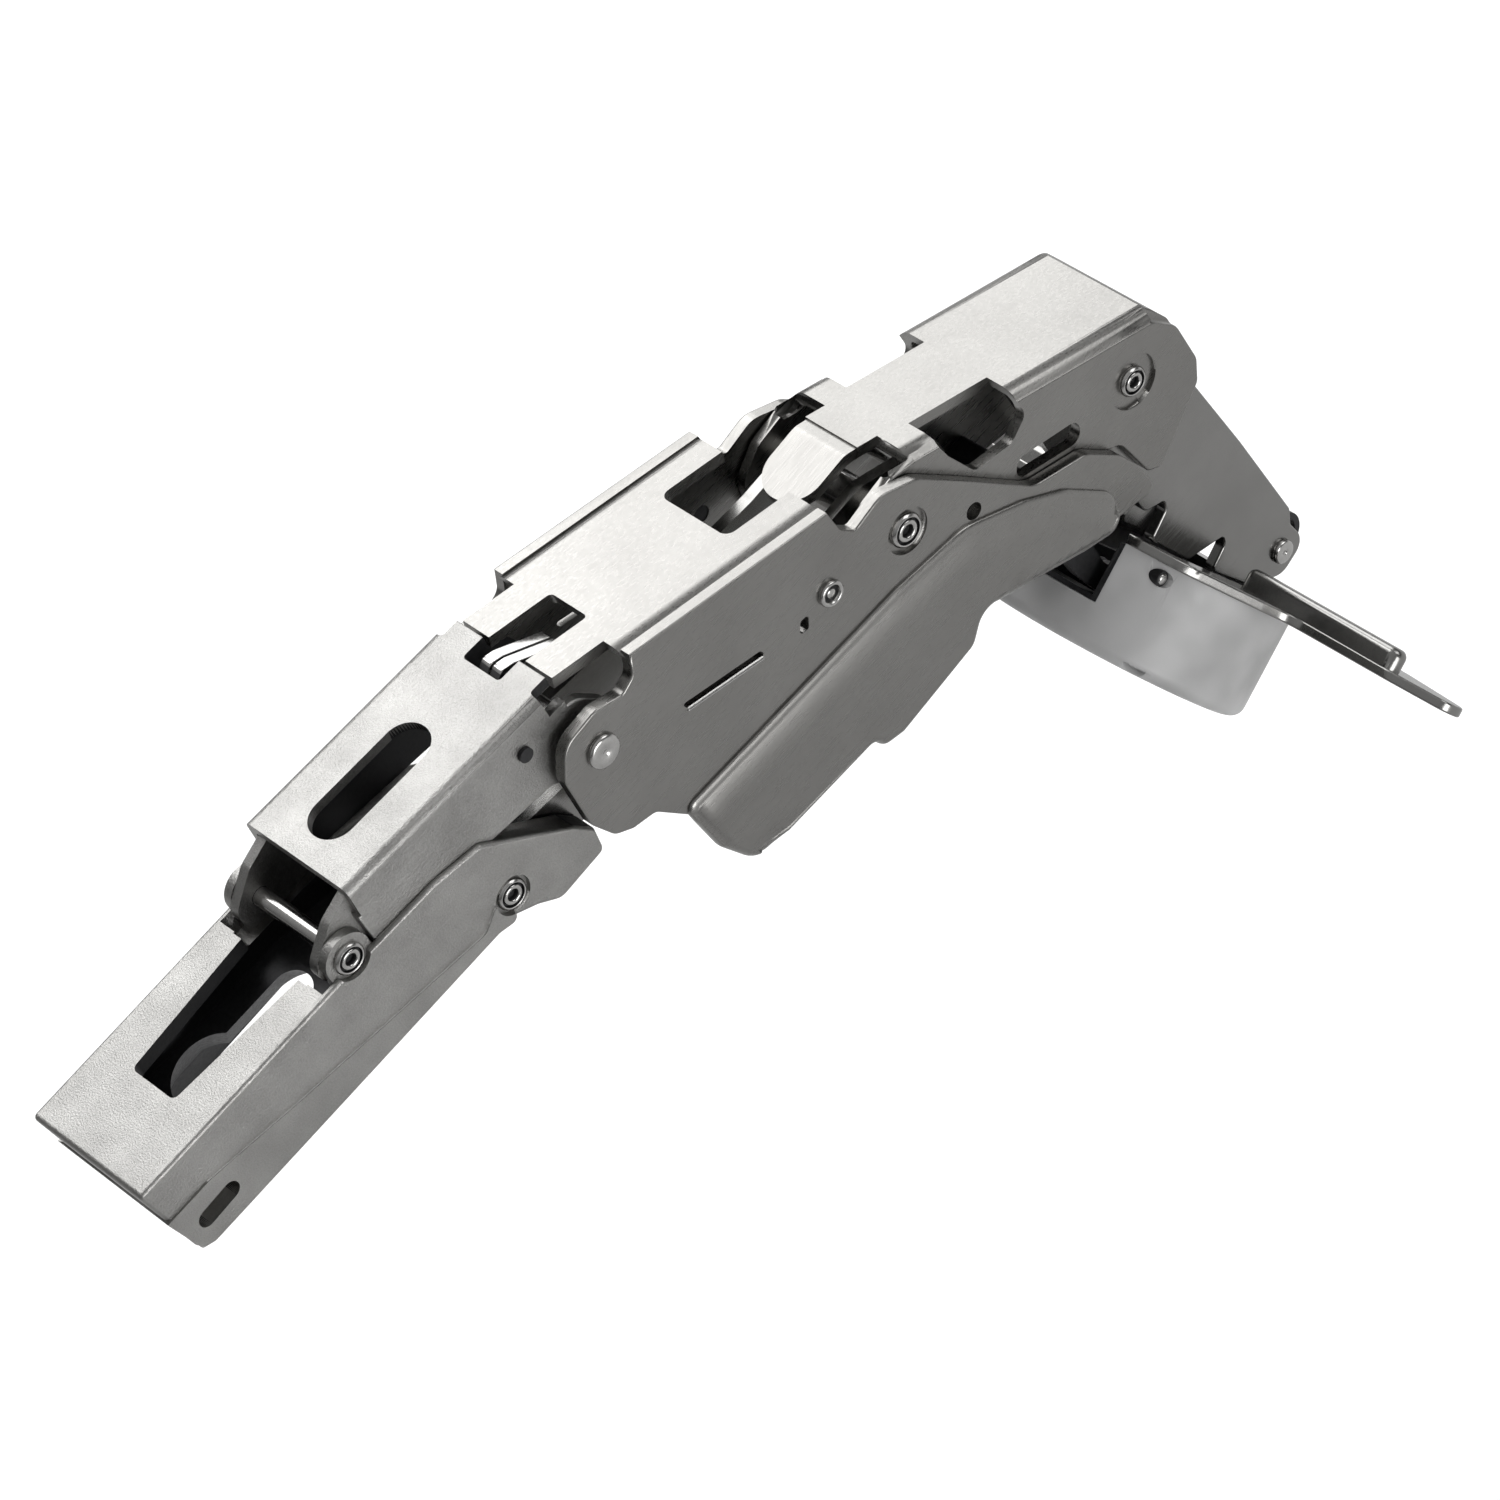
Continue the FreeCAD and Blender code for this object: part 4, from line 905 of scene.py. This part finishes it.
        # Faces between the cheeks take the dark finish as painted shade.
        Rounded(
            "centre_channel", Body.MID, Slot.BRIGHT, shape=self._crown_bulge,
            inside=self._in_channel_shade).build(palette)
        for side in (-1, 1):
            self._lip(side, palette)
        centre_end = solid_end(shaft=1.5, reach=11.2, head=2.1, proud=0.68)
        Pin("centre_pin", Body.MID, self.centre, centre_end).build(palette)
        hollow_pin(
            "scissor_rivet", Body.MID, self.scissor, shaft=1.5, reach=10.6, head=2.15,
            proud=0.78).build(palette)
        guide_end = ring_end(shaft=1.1, reach=11.2, head=1.65, proud=0.62)
        # The band puts painted shade in the hollow inside the studs' rings.
        Pin("guide_studs", Body.MID, self.guide, guide_end, shade_band=(1.06, 9.7, 11.45)).build(palette)
        Rounded("inner_web", Body.MID, Slot.GREY).build(palette)


@dataclass
class FrontChannel:
    """The channel with the side windows and its levers.

    Attributes:
        front: Place of its pin in x and z, in mm.
        roof: Lean, rise and level, where lean * x + rise * z = level in mm is the top of the roof.
        cheek_mm: Half width beyond which a vertex belongs to a cheek.
        rim_mm: Depths below the roof's top between which the cheeks' rims lie.
        seam_drop_mm: How far the rims are lowered.
    """

    front: tuple = (128.0, -19.4)
    roof: tuple = (0.385, 0.923, 38.99)
    cheek_mm: float = 9.2
    rim_mm: tuple = (0.7, 1.06)
    seam_drop_mm: float = 0.5

    def _round_seam(self, bm: bmesh.types.BMesh) -> None:
        """Lowers the cheeks' upper rims so that the roof's bend runs into them.

        Args:
            bm: The channel's mesh.
        """
        lean, rise, level = self.roof
        top, foot = self.rim_mm
        for vert in bm.verts:
            x, y, z = (value / MM for value in vert.co)
            depth = level - lean * x - rise * z
            if abs(y) > self.cheek_mm and top < depth < foot:
                vert.co -= Vector((lean, 0.0, rise)) * self.seam_drop_mm * MM

    def build(self, palette: Palette) -> None:
        """Builds the channel's pieces.

        Args:
            palette: The finishes.
        """
        Rounded("front_channel", Body.FRONT, Slot.BRIGHT, shape=self._round_seam).build(palette)
        hollow_pin(
            "front_rivet", Body.FRONT, self.front, shaft=1.5, reach=9.1, head=1.9,
            proud=0.75).build(palette)
        for side in ("near", "far"):
            Rounded("long_lever_" + side, Body.FRONT, Slot.SIDE).build(palette)


@dataclass
class FrontLinks:
    """The two plates that lead to the cup."""

    low: tuple = (135.9, -63.0)

    def build(self, palette: Palette) -> None:
        """Builds the plates and their lower pin.

        Args:
            palette: The finishes.
        """
        for side in ("near", "far"):
            Rounded("front_link_" + side, Body.LINK, Slot.SIDE).build(palette)
        low_end = solid_end(shaft=1.15, reach=8.05, head=1.55, proud=0.68)
        Pin("cup_pin", Body.LINK, self.low, low_end).build(palette)


@dataclass
class DoorCup:
    """The plastic bowl with its steel flange."""

    tie: tuple = (118.8, -44.8)
    tie_profile: tuple = (
        (0.0, 10.2), (0.95, 10.2), (0.95, 11.8), (0.7, 11.82), (0.68, 11.9), (0.6, 12.0), (0.4, 12.06),
        (0.0, 12.1))

    def build(self, palette: Palette) -> None:
        """Builds the cup's pieces.

        Args:
            palette: The finishes.
        """
        Rounded("cup_body", Body.CUP, Slot.CUP).build(palette)
        # The band puts painted shade on the pins' sides round their ends.
        Pin("tie_pins", Body.CUP, self.tie, self.tie_profile, shade_band=(1.2, 10.0, 11.85)).build(palette)
        Rounded("cup_flange", Body.CUP, Slot.SIDE).build(palette)
        Rounded("cup_bracket", Body.CUP, Slot.DARK).build(palette)
        Rounded("gate_liner", Body.CUP, Slot.DARK).build(palette)


@dataclass(frozen=True)
class Studio:
    """Floor, soft room light, lamps and camera, in metres but for the lens and the sensor.

    Attributes:
        floor_z, floor_size: Level and size of the floor.
        floor_tone, floor_glow: Its grey, and the light that it adds where it is seen.
        room_levels, room_light: Heights between which the room gets brighter, and how bright it is there.
        lens, sensor: Focal length and sensor width in mm.
        clip: Nearest and farthest distance that the camera sees.
        place, right, up, back: The camera's place and directions.
        aim: Where the lamps point.
    """

    floor_z: float = -0.13
    floor_size: float = 3.0
    floor_tone: float = 0.60
    floor_glow: float = 0.52
    room_levels: tuple = (-0.05, 0.95)
    room_light: tuple = (0.12, 0.50)
    lens: float = 156.0
    sensor: float = 36.0
    clip: tuple = (0.01, 10.0)
    place: tuple = (-0.0880, -0.4425, 0.5217)
    right: tuple = (0.6603, -0.6656, -0.3478)
    up: tuple = (0.7184, 0.4248, 0.5509)
    back: tuple = (-0.2189, -0.6136, 0.7586)
    aim: tuple = (0.062, 0.0, -0.02)

    def build(self) -> None:
        """Builds the whole studio."""
        self._floor()
        self._world()
        self._lamp("overhead", towards=(0.20, 0.60, 0.78), reach=0.85, side=0.60, glow=4.0)
        self._lamp("right_high", towards=(0.70, 0.60, 0.40), reach=0.85, side=0.50, glow=3.4)
        self._lamp("front_right", towards=(0.72, -0.44, 0.54), reach=0.95, side=0.50, glow=2.4)
        self._lamp("front_low", towards=(-0.06, -0.99, 0.04), reach=0.50, side=0.27, glow=5.5)
        self._camera()

    def _floor(self) -> None:
        """Adds the pale floor, white where it is seen and soft grey in shadow."""
        bm = bmesh.new()
        bmesh.ops.create_grid(bm, x_segments=1, y_segments=1, size=self.floor_size)
        bmesh.ops.translate(bm, verts=bm.verts, vec=(0.0, 0.0, self.floor_z))
        mesh = bpy.data.meshes.new("floor")
        bm.to_mesh(mesh)
        bm.free()
        floor = bpy.data.objects.new("floor", mesh)
        bpy.context.scene.collection.objects.link(floor)
        material = bpy.data.materials.new("floor_pale")
        material.use_nodes = True
        tree = material.node_tree
        shader = tree.nodes["Principled BSDF"]
        tone = self.floor_tone
        shader.inputs["Base Color"].default_value = (tone, tone, tone, 1.0)
        shader.inputs["Roughness"].default_value = 0.9
        shader.inputs["Specular IOR Level"].default_value = 0.1
        path = tree.nodes.new("ShaderNodeLightPath")
        seen = tree.nodes.new("ShaderNodeMath")
        seen.operation = "MAXIMUM"
        part = tree.nodes.new("ShaderNodeMath")
        part.operation = "MULTIPLY"
        part.inputs[1].default_value = self.floor_glow
        tree.links.new(path.outputs["Is Camera Ray"], seen.inputs[0])
        tree.links.new(path.outputs["Is Transmission Ray"], seen.inputs[1])
        tree.links.new(seen.outputs["Value"], part.inputs[0])
        shader.inputs["Emission Color"].default_value = (1.0, 1.0, 1.0, 1.0)
        tree.links.new(part.outputs["Value"], shader.inputs["Emission Strength"])
        mesh.materials.append(material)

    def _world(self) -> None:
        """Lights the room softly, brighter overhead than at the walls."""
        world = bpy.data.worlds.new("room")
        world.use_nodes = True
        tree = world.node_tree
        back = tree.nodes["Background"]
        place = tree.nodes.new("ShaderNodeTexCoord")
        split = tree.nodes.new("ShaderNodeSeparateXYZ")
        ramp = tree.nodes.new("ShaderNodeMapRange")
        ramp.inputs["From Min"].default_value, ramp.inputs["From Max"].default_value = self.room_levels
        ramp.inputs["To Min"].default_value, ramp.inputs["To Max"].default_value = self.room_light
        tree.links.new(place.outputs["Generated"], split.inputs["Vector"])
        tree.links.new(split.outputs["Z"], ramp.inputs["Value"])
        tree.links.new(ramp.outputs["Result"], back.inputs["Strength"])
        back.inputs["Color"].default_value = (1.0, 1.0, 1.0, 1.0)
        bpy.context.scene.world = world

    def _lamp(self, name: str, towards: tuple, reach: float, side: float, glow: float) -> None:
        """Adds a square soft lamp.

        Args:
            name: The lamp's name.
            towards: Direction from the hinge to the lamp.
            reach: Distance in metres.
            side: Edge length in metres.
            glow: Radiance, where 1 mirrors as white.
        """
        data = bpy.data.lights.new(name, "AREA")
        data.shape = "SQUARE"
        data.size = side
        data.energy = glow * math.pi * side * side
        lamp = bpy.data.objects.new(name, data)
        way = Vector(towards).normalized()
        lamp.location = Vector(self.aim) + way * reach
        lamp.rotation_euler = way.to_track_quat("Z", "Y").to_euler()
        bpy.context.scene.collection.objects.link(lamp)

    def _camera(self) -> None:
        """Adds the camera at the photograph's viewing angle."""
        data = bpy.data.cameras.new("eye")
        data.lens = self.lens
        data.sensor_width = self.sensor
        data.sensor_fit = "HORIZONTAL"
        data.clip_start, data.clip_end = self.clip
        camera = bpy.data.objects.new("eye", data)
        rows = [Vector(v).normalized() for v in (self.right, self.up, self.back)]
        camera.matrix_world = Matrix.Translation(Vector(self.place)) @ Matrix(rows).transposed().to_4x4()
        bpy.context.scene.collection.objects.link(camera)
        bpy.context.scene.camera = camera


def dress_rest(palette: Palette) -> None:
    """Gives every CAD node its finish from the record, also those that a new piece replaces later.

    Args:
        palette: The finishes.
    """
    by_name = {slot.value: slot for slot in Slot}
    for part in frame["record"]["subparts"]:
        palette.dress(frame["nodes"][part["node"]], by_name[part["material_slot"]])


def main() -> None:
    """Builds the hinge's looks and the studio."""
    logging.basicConfig(level=logging.INFO)
    bpy.context.scene.view_settings.view_transform = "Standard"
    palette = Palette.build()
    dress_rest(palette)
    for assembly in (Arm(), RearLink(), CentreChannel(), FrontChannel(), FrontLinks(), DoorCup()):
        LOG.info("building %s", type(assembly).__name__)
        assembly.build(palette)
    Studio().build()
    bpy.context.view_layer.update()


if __name__ == "__main__":
    main()
